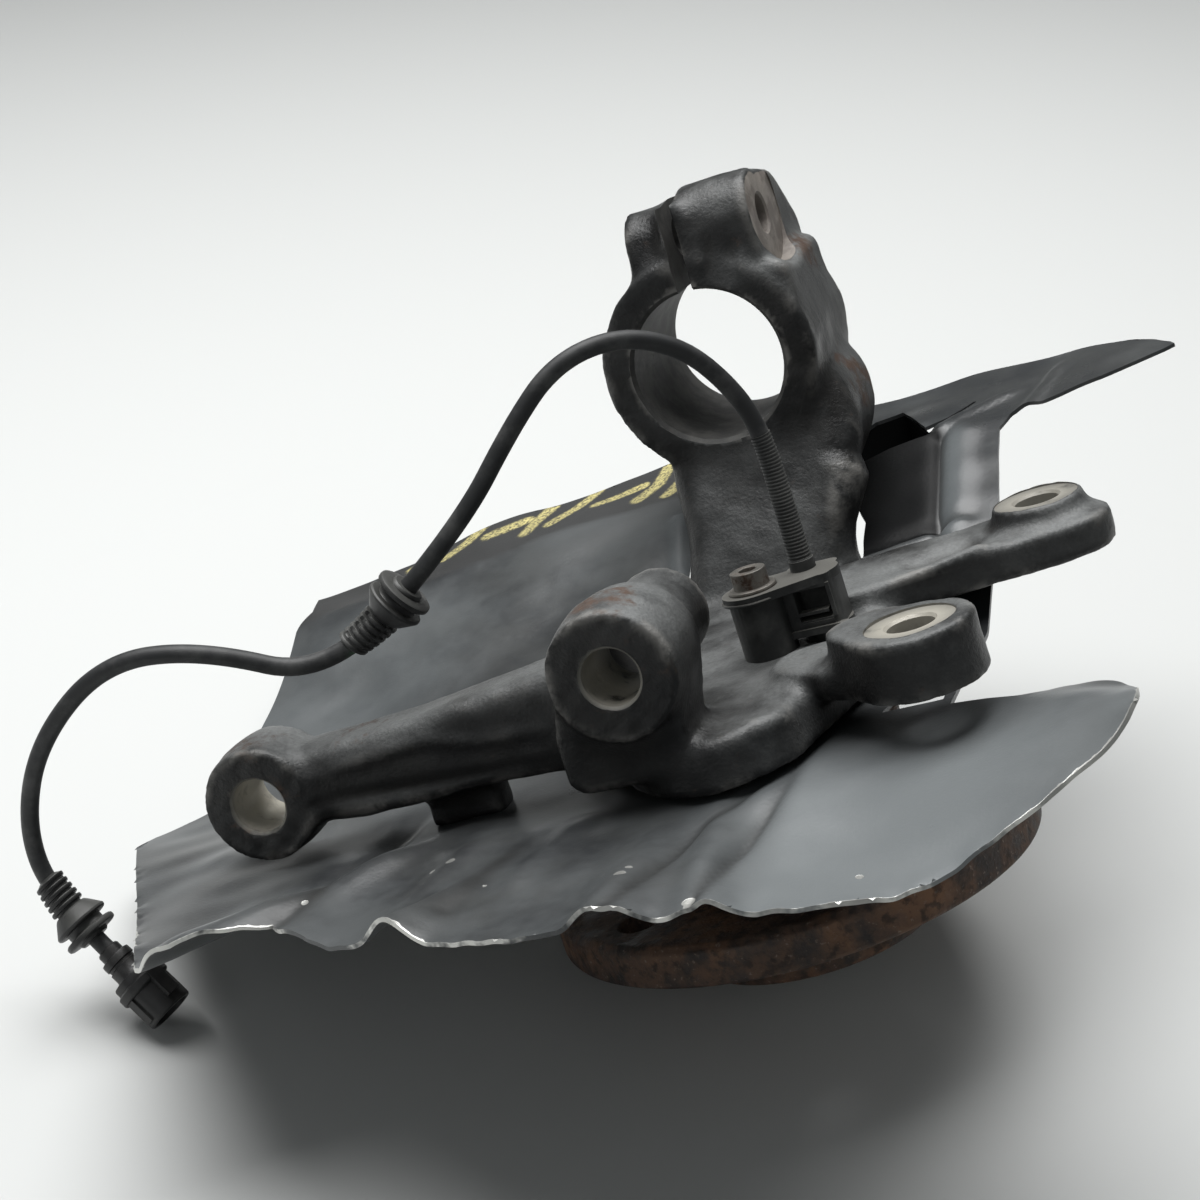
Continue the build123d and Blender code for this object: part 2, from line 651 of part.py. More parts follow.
# ======== Cable, laid in the resting frame, from the boot to the plug on the floor ========
cable_start = (lying * Pos(*cable_spot, sensor_top_z + boot_length)).position
route = [tuple(cable_start), *cable_route]
radii = []
for before, corner, after in zip(route, route[1:], route[2:]):
    run_in = Vector(*corner) - Vector(*before)
    run_out = Vector(*after) - Vector(*corner)
    half_turn = math.radians(run_in.get_angle(run_out) / 2)
    radii.append(0.45 * min(run_in.length, run_out.length) / math.tan(half_turn))
print("cable arc radii", [round(radius, 1) for radius in radii])

with BuildPart() as cable:
    with BuildLine() as cable_line:
        FilletPolyline(*route, radius=radii)
    with BuildSketch(Plane(origin=route[0], z_dir=Vector(*route[1]) - Vector(*route[0]))):
        Circle(cable_r)
    sweep()
cable.part.label = "sensor_cable"
laid.append(cable.part)
print("cable length", round(cable_line.wires()[0].length, 1), "volume", round(cable.part.volume, 1),
      "section times length", round(math.pi * cable_r ** 2 * cable_line.wires()[0].length, 1))


def along(start, end, distance):
    """Plane across the line from start to end, at a distance from start."""
    direction = (Vector(*end) - Vector(*start)).normalized()
    return Plane(origin=Vector(*start) + direction * distance, z_dir=direction)


# Two rubber grommets threaded on the cable: two flanges, the groove between them and a tail
grommets = (("cable_grommet_upper", 7, 30.0, 8.6, 13.0), ("cable_grommet_lower", 13, 13.0, 8.6, -6.0))
for label, run, distance, flange_radius, tail in grommets:
    seat = along(route[run], route[run + 1], distance)
    with BuildPart() as grommet:
        with BuildSketch(seat.offset(-1.0)):
            Circle(flange_radius - 2.5)
        extrude(amount=2.0)
        for side in (-1.0, 1.0):
            with BuildSketch(seat.offset(side)):
                Circle(flange_radius)
            extrude(amount=2.5 * side)
        with BuildSketch(seat.offset(math.copysign(3.5, tail))):
            Circle(cable_r + 2.2)
        extrude(amount=tail)
        with BuildSketch(seat.offset(-20.0)):
            Circle(cable_r + grommet_gap)
        extrude(amount=40.0, mode=Mode.SUBTRACT)
    grommet.part.label = label
    laid.append(grommet.part)

# Plug at the cable's end: a keyed round housing with a collar
plug_plane = along(route[-2], route[-1], math.dist(route[-2], route[-1]))
with BuildPart() as plug:
    with BuildSketch(plug_plane):
        Circle(plug_r - 2.5)
    extrude(amount=8.0)
    with BuildSketch(plug_plane.offset(8.0)):
        Circle(plug_r)
    extrude(amount=plug_length - 8.0)
    with BuildSketch(plug_plane.offset(11.0)):
        Circle(plug_r + 1.0)
    extrude(amount=3.0)
    with BuildSketch(plug_plane.offset(plug_length)):
        Circle(plug_r - 1.5)
        with GridLocations(4.0, 1.0, 2, 1):
            Circle(1.2, mode=Mode.SUBTRACT)
    extrude(amount=-9.0, mode=Mode.SUBTRACT)
plug.part.label = "cable_plug"
laid.append(plug.part)

for piece in laid:
    export_step(piece, f"parts/{piece.label}.step")
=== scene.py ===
import math
import random

import bmesh
import bpy
import numpy as np
from mathutils import Matrix, Vector, geometry, kdtree


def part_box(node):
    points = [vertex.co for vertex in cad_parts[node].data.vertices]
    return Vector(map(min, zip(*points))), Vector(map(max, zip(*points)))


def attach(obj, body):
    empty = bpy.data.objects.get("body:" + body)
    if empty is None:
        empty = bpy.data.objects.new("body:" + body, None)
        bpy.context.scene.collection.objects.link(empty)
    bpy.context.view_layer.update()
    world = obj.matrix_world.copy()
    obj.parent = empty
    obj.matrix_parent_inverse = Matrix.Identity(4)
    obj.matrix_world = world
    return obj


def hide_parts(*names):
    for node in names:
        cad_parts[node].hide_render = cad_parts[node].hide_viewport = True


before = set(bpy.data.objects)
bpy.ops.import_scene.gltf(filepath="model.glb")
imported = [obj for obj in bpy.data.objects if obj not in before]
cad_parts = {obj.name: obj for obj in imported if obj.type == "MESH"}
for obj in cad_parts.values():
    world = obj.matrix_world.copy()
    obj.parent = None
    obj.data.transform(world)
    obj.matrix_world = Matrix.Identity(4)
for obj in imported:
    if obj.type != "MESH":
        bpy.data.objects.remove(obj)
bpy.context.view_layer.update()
MM = 0.001


def in_scene(name, data):
    """A new object that stands in the scene."""
    made = bpy.data.objects.new(name, data)
    bpy.context.scene.collection.objects.link(made)
    return made


# ======== Camera ========
# It stands in front of the part, a little over half a metre up, looks down by about 32 degrees
# and is held slightly crooked.
camera_spot = Vector((-0.0224, -0.6304, 0.5189))
look_down = math.radians(32.24)
camera_roll = math.radians(1.75)
lens = bpy.data.cameras.new("camera")
lens.sensor_width = 36.0
lens.lens = 77.4
lens.clip_start = 0.05
camera = in_scene("camera", lens)
camera.matrix_world = (Matrix.Translation(camera_spot)
                       @ Matrix.Rotation(math.radians(90.0) - look_down, 4, "X")
                       @ Matrix.Rotation(camera_roll, 4, "Z"))
bpy.context.scene.camera = camera

# ======== Sensor cable ========
# Two-core lead in a matt black rubber jacket, extruded in one length. It springs out of the
# sensor's boot, arches over the clamp and drops to its plug on the floor.
cable_d = 0.0054
cable_route = (
    (0.0260, 0.0056, 0.1608), (0.0214, 0.0098, 0.1733), (0.0120, 0.0120, 0.1860),
    (-0.0020, 0.0100, 0.1985), (-0.0200, 0.0045, 0.2040), (-0.0370, -0.0030, 0.1985),
    (-0.0480, -0.0085, 0.1820), (-0.0615, -0.0148, 0.1540), (-0.0980, -0.0240, 0.1070),
    (-0.1350, -0.0240, 0.1160), (-0.1635, -0.0220, 0.1090), (-0.1840, -0.0230, 0.0810),
    (-0.1895, -0.0260, 0.0520), (-0.1820, -0.0325, 0.0320), (-0.1630, -0.0435, 0.0195),
)


def feed(tree, socket, value):
    """Gives a socket a plain value, or the socket that feeds it."""
    if isinstance(value, bpy.types.NodeSocket):
        tree.links.new(value, socket)
    else:
        socket.default_value = value


def add_node(tree, kind, inputs=None, **settings):
    """A new node; each input is a plain value or the socket that feeds it."""
    made = tree.nodes.new(kind)
    for name, value in settings.items():
        setattr(made, name, value)
    for name, value in (inputs or {}).items():
        feed(tree, made.inputs[name], value)
    return made


def new_material(name, **shader):
    """A material with one Principled BSDF, and the plain values of its sockets."""
    made = bpy.data.materials.new(name)
    made.use_nodes = True
    tree = made.node_tree
    skin = tree.nodes["Principled BSDF"]
    for socket, value in shader.items():
        skin.inputs[socket.replace("_", " ")].default_value = value
    return made, tree, skin


def new_group(name, inputs, outputs):
    """An empty shader group; inputs and outputs map names to FLOAT, COLOR or VECTOR."""
    tree = bpy.data.node_groups.new(name, "ShaderNodeTree")
    for way, sockets in (("INPUT", inputs), ("OUTPUT", outputs)):
        for socket, (kind, value) in sockets.items():
            made = tree.interface.new_socket(socket, in_out=way, socket_type=f"NodeSocket{kind}")
            if value is not None:
                made.default_value = value
    return tree, tree.nodes.new("NodeGroupInput"), tree.nodes.new("NodeGroupOutput")


def place_group(tree, group, **inputs):
    """One use of a group in a material, with this material's own values."""
    made = tree.nodes.new("ShaderNodeGroup")
    made.node_tree = group
    for name, value in inputs.items():
        feed(tree, made.inputs[name], value)
    return made


def math_node(tree, operation, first, second=0.0, clamp=False):
    """The result of one step of arithmetic on two values or sockets."""
    made = tree.nodes.new("ShaderNodeMath")
    made.operation = operation
    made.use_clamp = clamp
    for slot, value in zip(made.inputs, (first, second)):
        feed(tree, slot, value)
    return made.outputs[0]


def times(tree, first, second, clamp=False):
    """The product of two values or sockets."""
    return math_node(tree, "MULTIPLY", first, second, clamp)


def plus(tree, first, second, clamp=False):
    """The sum of two values or sockets."""
    return math_node(tree, "ADD", first, second, clamp)


def ramp(tree, value, low, high):
    """A mask that is 0 up to low and 1 from high on."""
    made = add_node(tree, "ShaderNodeMapRange", {"Value": value, "From Min": low, "From Max": high},
                    interpolation_type="SMOOTHSTEP")
    return made.outputs["Result"]


def mix(tree, amount, low, high):
    """The colour between low and high."""
    made = tree.nodes.new("ShaderNodeMix")
    made.data_type = "RGBA"
    for slot, value in ((made.inputs[0], amount), (made.inputs[6], low), (made.inputs[7], high)):
        feed(tree, slot, value)
    return made.outputs[2]


def graded(tree, value, start, end, low=0.0, high=1.0):
    """A value that runs evenly from start to end while another runs from low to high."""
    made = add_node(tree, "ShaderNodeMapRange", {"Value": value, "From Min": low, "From Max": high,
                                                 "To Min": start, "To Max": end})
    return made.outputs["Result"]


def bumped(tree, skin, height, distance, strength):
    """Feeds a height to the finish as a bump, its depth in metres."""
    bump = add_node(tree, "ShaderNodeBump", {"Height": height, "Distance": distance, "Strength": strength})
    tree.links.new(bump.outputs[0], skin.inputs["Normal"])


# Grain: the unevenness of a surface at one size, as a height and as a soft blotch mask
grain_group, grain_in, grain_out = new_group(
    "grain", {"Size": ("Float", 1000.0), "Blotch": ("Float", 60.0)},
    {"Height": ("Float", None), "Patch": ("Float", None)})
grain_spot = add_node(grain_group, "ShaderNodeTexCoord").outputs["Object"]
grain_fine = add_node(grain_group, "ShaderNodeTexNoise",
                      {"Vector": grain_spot, "Scale": grain_in.outputs["Size"], "Detail": 4.0,
                       "Roughness": 0.6})
grain_patch = add_node(grain_group, "ShaderNodeTexNoise",
                       {"Vector": grain_spot, "Scale": grain_in.outputs["Blotch"], "Detail": 5.0,
                        "Roughness": 0.62})
grain_group.links.new(grain_fine.outputs[0], grain_out.inputs["Height"])
grain_group.links.new(grain_patch.outputs[0], grain_out.inputs["Patch"])


def cable_jacket():
    """Matt rubber, dusty where it was handled, with a dab of green paint."""
    made, tree, skin = new_material("cable_jacket", Roughness=0.55)
    grain = place_group(tree, grain_group, Size=1800.0, Blotch=90.0)
    dust = ramp(tree, grain.outputs["Patch"], 0.42, 0.72)
    colour = mix(tree, dust, (0.018, 0.019, 0.020, 1), (0.060, 0.061, 0.060, 1))
    spot = add_node(tree, "ShaderNodeTexCoord").outputs["Object"]
    gap = add_node(tree, "ShaderNodeVectorMath", {0: spot, 1: paint_spot}, operation="DISTANCE")
    near = ramp(tree, plus(tree, gap.outputs["Value"],
                           times(tree, grain.outputs["Patch"], 0.012)),
                0.0165, 0.0125)
    tree.links.new(mix(tree, near, colour, (0.03, 0.10, 0.035, 1)), skin.inputs["Base Color"])
    bumped(tree, skin, grain.outputs["Height"], 0.00006, 0.6)
    return made


paint_spot = (-0.0860, -0.0225, 0.1215)
cable_line = bpy.data.curves.new("sensor_cable_line", "CURVE")
cable_line.dimensions = "3D"
cable_spline = cable_line.splines.new("NURBS")
cable_spline.points.add(len(cable_route) - 1)
for point, spot in zip(cable_spline.points, cable_route):
    point.co = (*spot, 1.0)
cable_spline.order_u = 3
cable_spline.use_endpoint_u = True
cable_spline.resolution_u = 16
cable_line.resolution_u = 16

# the points that the boot, grommets and plug follow, read from the line before it has a section
cable_bare = bpy.data.objects.new("cable_bare", cable_line)
cable_mesh = bpy.data.meshes.new_from_object(cable_bare)
cable_points = [v.co.copy() for v in cable_mesh.vertices]
bpy.data.objects.remove(cable_bare)
cable_runs = [(b - a).length for a, b in zip(cable_points, cable_points[1:])]
cable_marks = np.concatenate([[0.0], np.cumsum(cable_runs)])

cable_line.bevel_depth = cable_d / 2
cable_line.bevel_resolution = 6
cable_line.use_fill_caps = True
cable = in_scene("sensor_cable_jacket", cable_line)
cable_line.materials.append(cable_jacket())
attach(cable, "knuckle")
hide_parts("sensor_cable")


def shade(mesh, degrees=180.0):
    """Smooth shading, with crisp edges where faces meet at more than an angle."""
    mesh.polygons.foreach_set("use_smooth", [True] * len(mesh.polygons))
    if degrees < 180.0:
        mesh.set_sharp_from_angle(angle=math.radians(degrees))


def cable_at(distance):
    """The point on the cable's line at a distance from the boot, and its direction there."""
    distance = min(max(distance, 0.0), float(cable_marks[-1]) - 1e-6)
    i = int(np.searchsorted(cable_marks, distance, side="right")) - 1
    share = (distance - cable_marks[i]) / cable_runs[i]
    spot = cable_points[i].lerp(cable_points[i + 1], share)
    return spot, (cable_points[i + 1] - cable_points[i]).normalized()


# ======== Floor and light ========
# A pale floor that curves up into a far wall, under one broad soft lamp overhead and behind,
# with a weak fill from the front.
floor_tone = (0.62, 0.63, 0.62, 1)
wall_y, cove_r, floor_reach, cove_steps = 2.6, 0.6, 3.2, 24
under_part = 0.0001
floor_bm = bmesh.new()
profile = [(-floor_reach, 0.0), (wall_y - cove_r, 0.0)]
for step in range(1, cove_steps + 1):
    turn = math.pi / 2 * step / cove_steps
    profile.append((wall_y - cove_r + cove_r * math.sin(turn), cove_r - cove_r * math.cos(turn)))
profile.append((wall_y, 2.6))
columns = [[floor_bm.verts.new((x, y, z - under_part)) for y, z in profile]
           for x in (-floor_reach, floor_reach)]
for left, right, left_next, right_next in zip(*columns, columns[0][1:], columns[1][1:]):
    floor_bm.faces.new((left, right, right_next, left_next))
floor_mesh = bpy.data.meshes.new("floor")
floor_bm.to_mesh(floor_mesh)
floor_bm.free()
shade(floor_mesh)
floor = in_scene("floor", floor_mesh)
floor_paint, _, _ = new_material("floor_paint", Base_Color=floor_tone, Roughness=0.7)
floor_mesh.materials.append(floor_paint)


def soft_lamp(name, spot, aim, width, depth, power, tone=(1, 1, 1), spread=180.0):
    """A rectangular lamp that faces a point; spread is how wide its light fans out."""
    data = bpy.data.lights.new(name, "AREA")
    data.shape = "RECTANGLE"
    data.size, data.size_y = width, depth
    data.energy = power
    data.color = tone
    data.spread = math.radians(spread)
    lamp = in_scene(name, data)
    lamp.location = spot
    lamp.rotation_euler = (Vector(aim) - Vector(spot)).to_track_quat("-Z", "Y").to_euler()
    return lamp


soft_lamp("overhead_lamp", (-0.25, 0.48, 1.30), (0.0, 0.0, 0.1), 1.7, 1.1, 16.0, spread=110.0)
soft_lamp("front_fill", (-0.9, -1.2, 0.9), (0.0, 0.0, 0.1), 0.8, 0.8, 1.2, (0.96, 0.98, 1.0))
world = bpy.data.worlds.new("studio")
world.use_nodes = True
world.node_tree.nodes["Background"].inputs["Color"].default_value = (0.80, 0.83, 0.84, 1)
world.node_tree.nodes["Background"].inputs["Strength"].default_value = 0.17
bpy.context.scene.world = world
bpy.context.scene.view_settings.view_transform = "Standard"

# ======== Knuckle casting ========
# One ductile iron casting in black dip paint: deck, ball joint eye, steering arm, two caliper
# ears and the neck with the split strut clamp. Bores, ear faces and the bolt face are cut.
# the hub's frame in the resting frame: it rests on the edges of the pilot and the flange
flange_r, pilot_r, pilot_length = 75.0, 39.5, 18.0
floor_shift, floor_turn, contact_angle = (41.0, -12.0), 137.9, 151.2
lean = math.atan2(pilot_length, flange_r - pilot_r + 0.5)
lift = (pilot_r - 1.5) * math.sin(lean) + pilot_length * math.cos(lean)
lying = (Matrix.Translation(Vector((*floor_shift, lift)) * MM)
         @ Matrix.Rotation(math.radians(floor_turn), 4, "Z") @ Matrix.Rotation(lean, 4, "Y")
         @ Matrix.Rotation(math.radians(-contact_angle), 4, "Z"))
lying_turn = np.array(lying.to_3x3())
lying_shift = np.array(lying.translation)


def to_row(points):
    """Millimetres in the hub's frame as metres in the resting frame."""
    return np.asarray(points) * MM @ lying_turn.T + lying_shift


def mesh_points(mesh):
    """The mesh's vertices as an array."""
    flat = np.empty(len(mesh.vertices) * 3)
    mesh.vertices.foreach_get("co", flat)
    return flat.reshape(-1, 3)


def mesh_normals(mesh):
    """The normals at the mesh's vertices as an array."""
    flat = np.empty(len(mesh.vertices) * 3)
    mesh.vertex_normals.foreach_get("vector", flat)
    return flat.reshape(-1, 3)


def set_points(mesh, points):
    """Writes an array back as the mesh's vertices."""
    mesh.vertices.foreach_set("co", np.ascontiguousarray(points, dtype=np.float64).ravel())
    mesh.update()


def paint_mask(mesh, name, values):
    """Keeps one number for each vertex as a named mask."""
    layer = mesh.attributes.new(name, "FLOAT", "POINT")
    layer.data.foreach_set("value", np.asarray(values, dtype=np.float32))


def neighbour_gap(mesh):
    """A function that gives each vertex's offset to the middle of its neighbours."""
    ends = np.empty(len(mesh.edges) * 2, dtype=np.int64)
    mesh.edges.foreach_get("vertices", ends)
    first, second = ends.reshape(-1, 2).T
    count = np.maximum(1, np.bincount(ends, minlength=len(mesh.vertices)))

    def gap(values):
        total = np.empty_like(values)
        for axis in range(values.shape[1]):
            total[:, axis] = (np.bincount(first, values[second, axis], len(values))
                              + np.bincount(second, values[first, axis], len(values)))
        return total / count.reshape(-1, 1) - values

    return gap


def turned(profile, centre=(0.0, 0.0, 0.0), way=(0.0, 0.0, 1.0), count=64):
    """A turned solid: (radius, height) points swept round the line through centre along way."""
    shape = bmesh.new()
    rings = []
    for radius, height in profile:
        if radius == 0.0:
            rings.append([shape.verts.new((0.0, 0.0, height))])
        else:
            rings.append([shape.verts.new((radius * math.cos(2 * math.pi * i / count),
                                           radius * math.sin(2 * math.pi * i / count), height))
                          for i in range(count)])
    for low, high in zip(rings, rings[1:]):
        for i in range(count):
            corners = [low[i % len(low)], low[(i + 1) % len(low)],
                       high[(i + 1) % len(high)], high[i % len(high)]]
            unique = [c for k, c in enumerate(corners) if c not in corners[:k]]
            if len(unique) > 2:
                shape.faces.new(unique)
    turn = Vector(way).to_track_quat("Z", "Y").to_matrix().to_4x4()
    shape.transform(Matrix.Translation(Vector(centre)) @ turn)
    bmesh.ops.recalc_face_normals(shape, faces=shape.faces)
    return shape


def block(low, high):
    """A plain box between two corners."""
    shape = bmesh.new()
    bmesh.ops.create_cube(shape, size=1.0)
    shape.transform(Matrix.Translation((Vector(low) + Vector(high)) / 2)
                    @ Matrix.Diagonal((*(Vector(high) - Vector(low)), 1.0)))
    return shape


def shape_mesh(shape, name):
    """Turns a shape into a mesh."""
    made = bpy.data.meshes.new(name)
    shape.to_mesh(made)
    shape.free()
    return made


def modified(mesh, kind, **settings):
    """The mesh with one modifier applied."""
    holder = in_scene(mesh.name, mesh)
    step = holder.modifiers.new(kind.lower(), kind)
    for name, value in settings.items():
        setattr(step, name, value)
    done = bpy.data.meshes.new_from_object(holder.evaluated_get(bpy.context.evaluated_depsgraph_get()))
    bpy.data.objects.remove(holder)
    return done


def remesh(node, size, extras=()):
    """The CAD node's form, with the extra solids fused on, as an even mesh in the hub's frame."""
    shape = bmesh.new()
    shape.from_mesh(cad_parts[node].data)
    bmesh.ops.remove_doubles(shape, verts=shape.verts, dist=1e-6)
    shape.transform(Matrix.Diagonal((1000.0, 1000.0, 1000.0, 1.0)) @ lying.inverted())
    for number, extra in enumerate(extras):
        shape.from_mesh(shape_mesh(extra, f"{node}_extra_{number}"))
    return modified(shape_mesh(shape, node + "_rough"), "REMESH", mode="VOXEL", voxel_size=size)


def fill_corners(mesh, hold, rounds):
    """Runs fillets into the inner corners, as a pattern maker does, and leaves the rest."""
    gap = neighbour_gap(mesh)
    points = mesh_points(mesh)
    for step in range(rounds):
        if step % 6 == 0:
            set_points(mesh, points)
            normals = mesh_normals(mesh)
        offset = gap(points)
        rise = np.sum(offset * normals, axis=1)
        points += (0.9 * np.maximum(0.0, rise) * hold).reshape(-1, 1) * normals
        points += 0.3 * hold.reshape(-1, 1) * (offset - rise.reshape(-1, 1) * normals)
    set_points(mesh, points)


def smooth(mesh, hold, rounds, pull=0.5, push=-0.48):
    """Rounds a mesh where hold is 1, without shrinking it much."""
    gap = neighbour_gap(mesh)
    points = mesh_points(mesh)
    for step in range(rounds * 2):
        points += (pull if step % 2 == 0 else push) * hold.reshape(-1, 1) * gap(points)
    set_points(mesh, points)


def cut(mesh, cutters):
    """Machines the mesh with the cutters, one after the other; their faces get material 1."""
    holder = in_scene("cut_piece", mesh)
    tools = []
    for number, cutter in enumerate(cutters):
        tool_mesh = shape_mesh(cutter, f"cutter_{number}")
        tool_mesh.materials.append(mesh.materials[0])
        tool_mesh.materials.append(mesh.materials[1])
        tool_mesh.polygons.foreach_set("material_index", [1] * len(tool_mesh.polygons))
        tool = in_scene(f"cutter_{number}", tool_mesh)
        step = holder.modifiers.new(f"cut_{number}", "BOOLEAN")
        step.object = tool
        step.operation = "DIFFERENCE"
        step.solver = "MANIFOLD"
        tools.append(tool)
    done = bpy.data.meshes.new_from_object(holder.evaluated_get(bpy.context.evaluated_depsgraph_get()))
    for spare in [holder, *tools]:
        bpy.data.objects.remove(spare)
    return done


def waves(points, size, seed, count=16):
    """Soft random unevenness with bumps of a given size, for each point."""
    maker = random.Random(seed)
    total = np.zeros(len(points))
    for _ in range(count):
        way = np.array([maker.gauss(0.0, 1.0) for _ in range(3)])
        way *= 2.0 * math.pi / size * maker.uniform(0.6, 1.5) / np.linalg.norm(way)
        total += np.sin(points @ way + maker.uniform(0.0, 2.0 * math.pi))
    return total / math.sqrt(count / 2.0)


def path_gap(points, path):
    """Each point's distance from a broken line, and how far along the line it is, from 0 to 1."""
    path = np.array(path)
    runs = np.linalg.norm(np.diff(path, axis=0), axis=1)
    marks = np.concatenate([[0.0], np.cumsum(runs)])
    nearest = np.full(len(points), 1e9)
    along = np.zeros(len(points))
    for start, end, run, mark in zip(path, path[1:], runs, marks):
        share = np.clip((points - start) @ (end - start) / run ** 2, 0.0, 1.0)
        gap = np.linalg.norm(points - start - share.reshape(-1, 1) * (end - start), axis=1)
        closer = gap < nearest
        nearest[closer] = gap[closer]
        along[closer] = (mark + share * run)[closer]
    return nearest, along / marks[-1]


ear_spots = ((72.8, -69.0), (93.8, 32.0))
# plugs that fill the holes while the skin is rounded, so that the holes can be cut true after
plugs = [turned([(0, 60.4), (24.6, 60.4), (24.6, 113.6), (0, 113.6)], (1.0, 0.0, 148.0), (0, 1, 0)),
         turned([(0, 0.6), (8.8, 0.6), (8.8, 25.6), (0, 25.6)], (0.0, -100.0, 101.0), (0, 1, 0)),
         turned([(0, 0.6), (13.4, 0.6), (13.4, 30.0), (0, 30.0)], (0.0, -74.4, 101.0), (0, 1, 0)),
         turned([(0, 0.6), (8.6, 0.6), (8.6, 21.4), (0, 21.4)], (-121.7, -81.0, 81.3), (0, 1, 0)),
         block((-2.2, 62.0, 172.0), (4.2, 93.0, 199.0)),
         turned([(0, -15.4), (6.7, -15.4), (6.7, 26.4), (0, 26.4)], (0.0, 80.0, 187.0), (1, 0, 0)),
         turned([(0, 73.2), (7.2, 73.2), (7.2, 89.4), (0, 89.4)], (*ear_spots[0], 0.0)),
         turned([(0, 73.6), (7.2, 73.6), (7.2, 89.4), (0, 89.4)], (*ear_spots[1], 0.0))]
casting_mesh = remesh("knuckle", 1.3, plugs)
casting_mesh.polygons.foreach_set("material_index", [0] * len(casting_mesh.polygons))
points = mesh_points(casting_mesh)
# the spindle inside the hub keeps its turned form, and the faces of the eyes stay flat
hold = np.clip((points[:, 2] - 60.5) / 2.0, 0.0, 1.0)
hold = np.maximum(hold, np.clip((np.hypot(points[:, 0], points[:, 1]) - 57.0) / 1.0, 0.0, 1.0))
fill_corners(casting_mesh, hold, 36)
smooth(casting_mesh, hold, 10)
smooth(casting_mesh, hold * 0.5, 3, push=0.0)

# forms left by the mould: path in the hub's frame, height, half width
casting_lines = (
    # the steering arm's parting line, the groove under it and its lower lip
    (((-104.0, -79.0, 85.5), (-84.0, -80.5, 88.0), (-66.0, -80.5, 89.5), (-50.0, -81.0, 86.0),
      (-30.0, -82.0, 86.0)), 1.1, 2.0),
    (((-106.0, -80.0, 78.0), (-74.0, -80.5, 77.0), (-30.0, -82.0, 76.0)), -1.6, 1.8),
    (((-106.0, -79.0, 73.0), (-74.0, -79.5, 72.0), (-26.0, -81.0, 71.0)), 1.3, 2.4),
    # the hollow and the front ridge of the upper ear's arm
    (((52.0, 10.0, 84.0), (66.0, 19.0, 84.0), (78.0, 25.0, 84.0)), -3.2, 6.0),
    (((47.0, -9.0, 80.0), (56.0, -4.0, 85.0), (70.0, 3.0, 84.5), (84.0, 11.0, 84.5)), 2.6, 2.0),
    # the rib down the neck's right side
    (((27.0, 44.0, 80.0), (28.0, 50.0, 95.0), (33.0, 62.0, 112.0)), 1.8, 2.0),
    (((27.0, 52.0, 66.0), (29.0, 54.0, 85.0), (32.0, 58.0, 97.0), (37.0, 64.0, 112.0)), 6.5, 8.0),
    # the hollow in front of the bolt lug
    (((8.0, 60.0, 180.0), (20.0, 64.0, 176.0)), -2.0, 6.0),
    # beads beside the clamp
    (((38.0, 72.0, 150.0), (40.0, 80.0, 140.0)), 0.9, 1.4),
    (((36.0, 64.0, 146.0), (38.0, 72.0, 134.0)), 0.8, 1.2),
    # the worn front rim of the deck
    (((22.0, -92.0, 76.0), (38.0, -80.0, 76.0), (52.0, -60.0, 78.0)), 0.9, 3.0),
)
points = mesh_points(casting_mesh)
normals = mesh_normals(casting_mesh)
rise = np.zeros(len(points))
for path, height, spread in casting_lines:
    gap, along = path_gap(points, path)
    fade = np.clip(6.0 * along, 0.0, 1.0) * np.clip(6.0 * (1.0 - along), 0.0, 1.0)
    rise += height * np.exp(-(gap / spread) ** 2) * np.maximum(fade, 0.35)
rise += 0.12 * waves(points, 24.0, 11) + 0.06 * waves(points, 8.0, 12)
hold = np.clip((points[:, 2] - 61.0) / 2.0, 0.0, 1.0)
hold = hold * np.clip(np.hypot(points[:, 0], points[:, 1]) - 20.0, 0.0, 1.0)
set_points(casting_mesh, points + (rise * hold).reshape(-1, 1) * normals)
points = mesh_points(casting_mesh)
normals = mesh_normals(casting_mesh)
# the faces of the two eyes are ground flat, and stay black
for face_y, (eye_x, eye_z), eye_r in ((-100.0, (0.0, 101.0), 17.2), (-81.0, (-121.7, 81.3), 15.8)):
    near = ((np.hypot(points[:, 0] - eye_x, points[:, 2] - eye_z) < eye_r + 0.6)
            & (np.abs(points[:, 1] - face_y) < 1.6))
    points[near, 1] = face_y + 0.12 * waves(points[near], 5.0, 13)
set_points(casting_mesh, points)

casting_mesh.materials.clear()
casting_mesh.materials.append(bpy.data.materials.new("casting_paint"))
casting_mesh.materials.append(bpy.data.materials.new("casting_cut"))
cutters = [turned([(0, 55), (25.2, 55), (25.2, 60.0), (24.0, 61.2), (24.0, 112.8), (25.2, 114.0),
                   (25.2, 120), (0, 120)], (1.0, 0.0, 148.0), (0, 1, 0), 96),
           block((-1.5, 40.0, 165.0), (3.5, 125.0, 215.0)),
           turned([(0, -40), (6.9, -40), (6.9, -16.0), (6.2, -15.3), (6.2, 26.0), (7.0, 26.9), (7.0, 40),
                   (0, 40)],
                  (0.0, 80.0, 187.0), (1, 0, 0), 40),
           turned([(0, 26.7), (17.5, 26.7), (17.5, 47.0), (0, 47.0)], (0.0, 82.0, 188.0), (1, 0, 0), 72),
           turned([(0, -3), (8.9, -3), (8.9, 0.0), (8.1, 0.8), (8.1, 2.0), (8.1, 14.0), (8.1, 27.0),
                   (13.1, 27.4), (13.1, 57.0), (0, 57)], (0.0, -100.0, 101.0), (0, 1, 0), 56),
           turned([(0, -3), (8.9, -3), (8.9, 0.0), (8.1, 0.8), (8.1, 2.0), (8.1, 12.0), (8.1, 32.0),
                   (0, 32)], (-121.7, -81.0, 81.3), (0, 1, 0), 56)]
